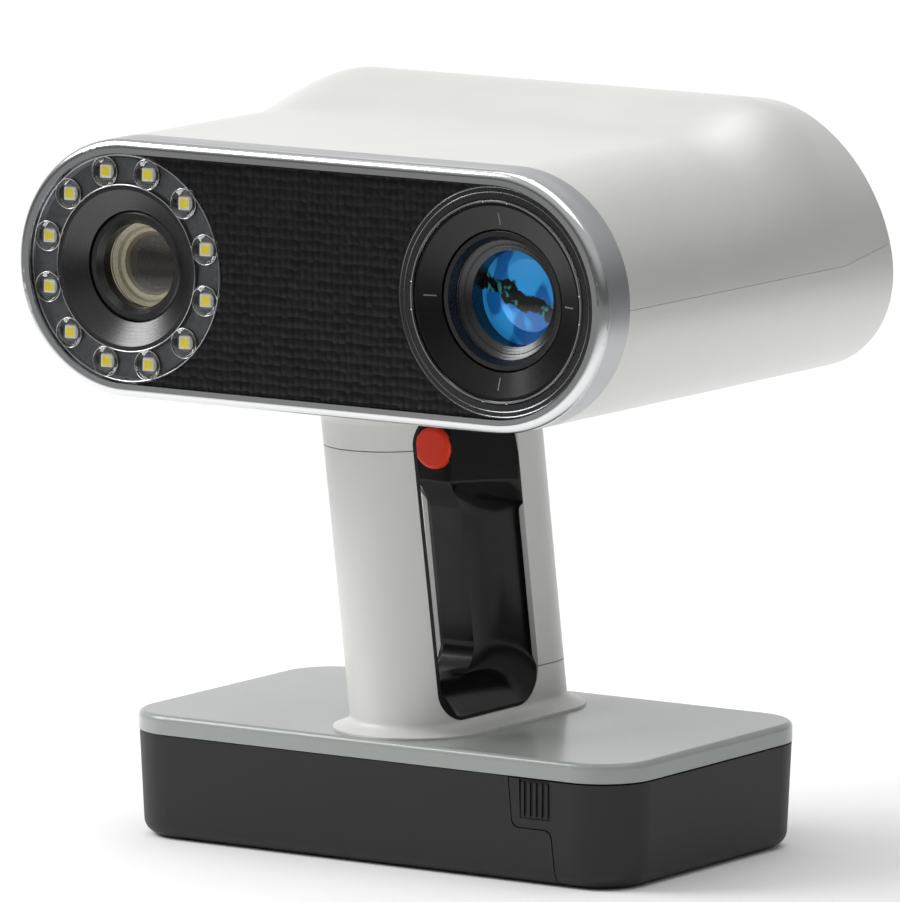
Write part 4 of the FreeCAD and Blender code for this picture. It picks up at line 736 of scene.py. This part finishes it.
class SCANNER_OT_inside(bpy.types.Operator):
    """Boards, bench, fan, screws and other pieces inside"""
    bl_idname = "scanner.inside"
    bl_label = "Inside Pieces"

    def execute(self, context):
        dress(plain_metal("milled aluminium", "B9BBBD", 0.35), "optical_bench", "projector_heat_sink",
              "processor_heat_sink", "handle_core_tube")
        dress(solder_mask("green solder mask", "1C5A34"), "main_board", "camera_board", "power_board")
        dress(moulded_abs("moulded black nylon", "1A1A1B", 0.5), "fan_frame", "fan_rotor", "speaker",
              "processor", "camera_sensor", "trigger_switch", "power_switch", "battery_socket")
        dress(anodised_black("black anodised casting"), "projector_light_engine")
        dress(plain_metal("zinc plated steel", "A9ABAE", 0.3), "bench_screws", "neck_screws",
              "handle_foot_screws", "base_screws")
        dress(plain_metal("drawn spring steel", "9A9C9F", 0.25), "trigger_spring",
              "latch_spring_front", "latch_spring_rear")
        dress(moulded_abs("shrink sleeve on cells", "2A6FA8", 0.3), "battery_cells")
        dress(moulded_rubber(), "cable_loom")
        return {"FINISHED"}


class SCANNER_OT_stage(bpy.types.Operator):
    """Pale floor, soft lights and the camera"""
    bl_idname = "scanner.stage"
    bl_label = "Studio"

    def execute(self, context):
        scene = context.scene
        scene.view_settings.view_transform = "Standard"
        floor_mesh = bpy.data.meshes.new("floor")
        made = bmesh.new()
        bmesh.ops.create_circle(made, cap_ends=True, segments=96, radius=FLOOR_RADIUS)
        made.to_mesh(floor_mesh)
        made.free()
        floor = bpy.data.objects.new("floor", floor_mesh)
        scene.collection.objects.link(floor)
        floor_mesh.materials.append(fading_paper())
        scene.world = studio_sky()

        for name, place, size, power, aim in LAMPS:
            lamp = bpy.data.lights.new(name, "AREA")
            lamp.shape = "RECTANGLE"
            lamp.size, lamp.size_y = size
            lamp.energy = power
            holder = bpy.data.objects.new(name, lamp)
            holder.location = place
            holder.rotation_euler = (Vector(aim) - Vector(place)).to_track_quat("-Z", "Y").to_euler()
            scene.collection.objects.link(holder)

        eye = bpy.data.cameras.new("camera")
        eye.sensor_width = CAMERA_SENSOR
        eye.lens = CAMERA_LENS
        eye.clip_end = 50.0
        holder = bpy.data.objects.new("camera", eye)
        holder.location = CAMERA_PLACE
        holder.rotation_euler = (math.radians(90 - CAMERA_DOWN), 0, math.radians(CAMERA_TURN))
        scene.collection.objects.link(holder)
        scene.camera = holder
        return {"FINISHED"}


class SCANNER_PT_panel(bpy.types.Panel):
    """Sidebar list of the scanner's steps, sizes and colours"""
    bl_idname = "SCANNER_PT_panel"
    bl_label = "Handheld Scanner"
    bl_space_type = "VIEW_3D"
    bl_region_type = "UI"
    bl_category = "Scanner"

    def draw(self, context):
        for step in STEPS:
            self.layout.operator(step.bl_idname)
        for group in (context.scene.scanner_sizes, context.scene.scanner_colours):
            for name in group.__annotations__:
                self.layout.prop(group, name)


STEPS = (SCANNER_OT_front, SCANNER_OT_ring_light, SCANNER_OT_camera, SCANNER_OT_projector,
         SCANNER_OT_shells, SCANNER_OT_screen, SCANNER_OT_handle, SCANNER_OT_base,
         SCANNER_OT_inside, SCANNER_OT_stage)
CLASSES = (ScannerSizes, ScannerColours) + STEPS + (SCANNER_PT_panel,)


def register():
    for made in CLASSES:
        bpy.utils.register_class(made)
    bpy.types.Scene.scanner_sizes = PointerProperty(type=ScannerSizes)
    bpy.types.Scene.scanner_colours = PointerProperty(type=ScannerColours)


def unregister():
    del bpy.types.Scene.scanner_colours
    del bpy.types.Scene.scanner_sizes
    for made in reversed(CLASSES):
        bpy.utils.unregister_class(made)


def main():
    """Registers the add-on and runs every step."""
    register()
    for step in STEPS:
        group, name = step.bl_idname.split(".")
        getattr(getattr(bpy.ops, group), name)()
    bpy.context.view_layer.update()


if __name__ == "__main__":
    main()
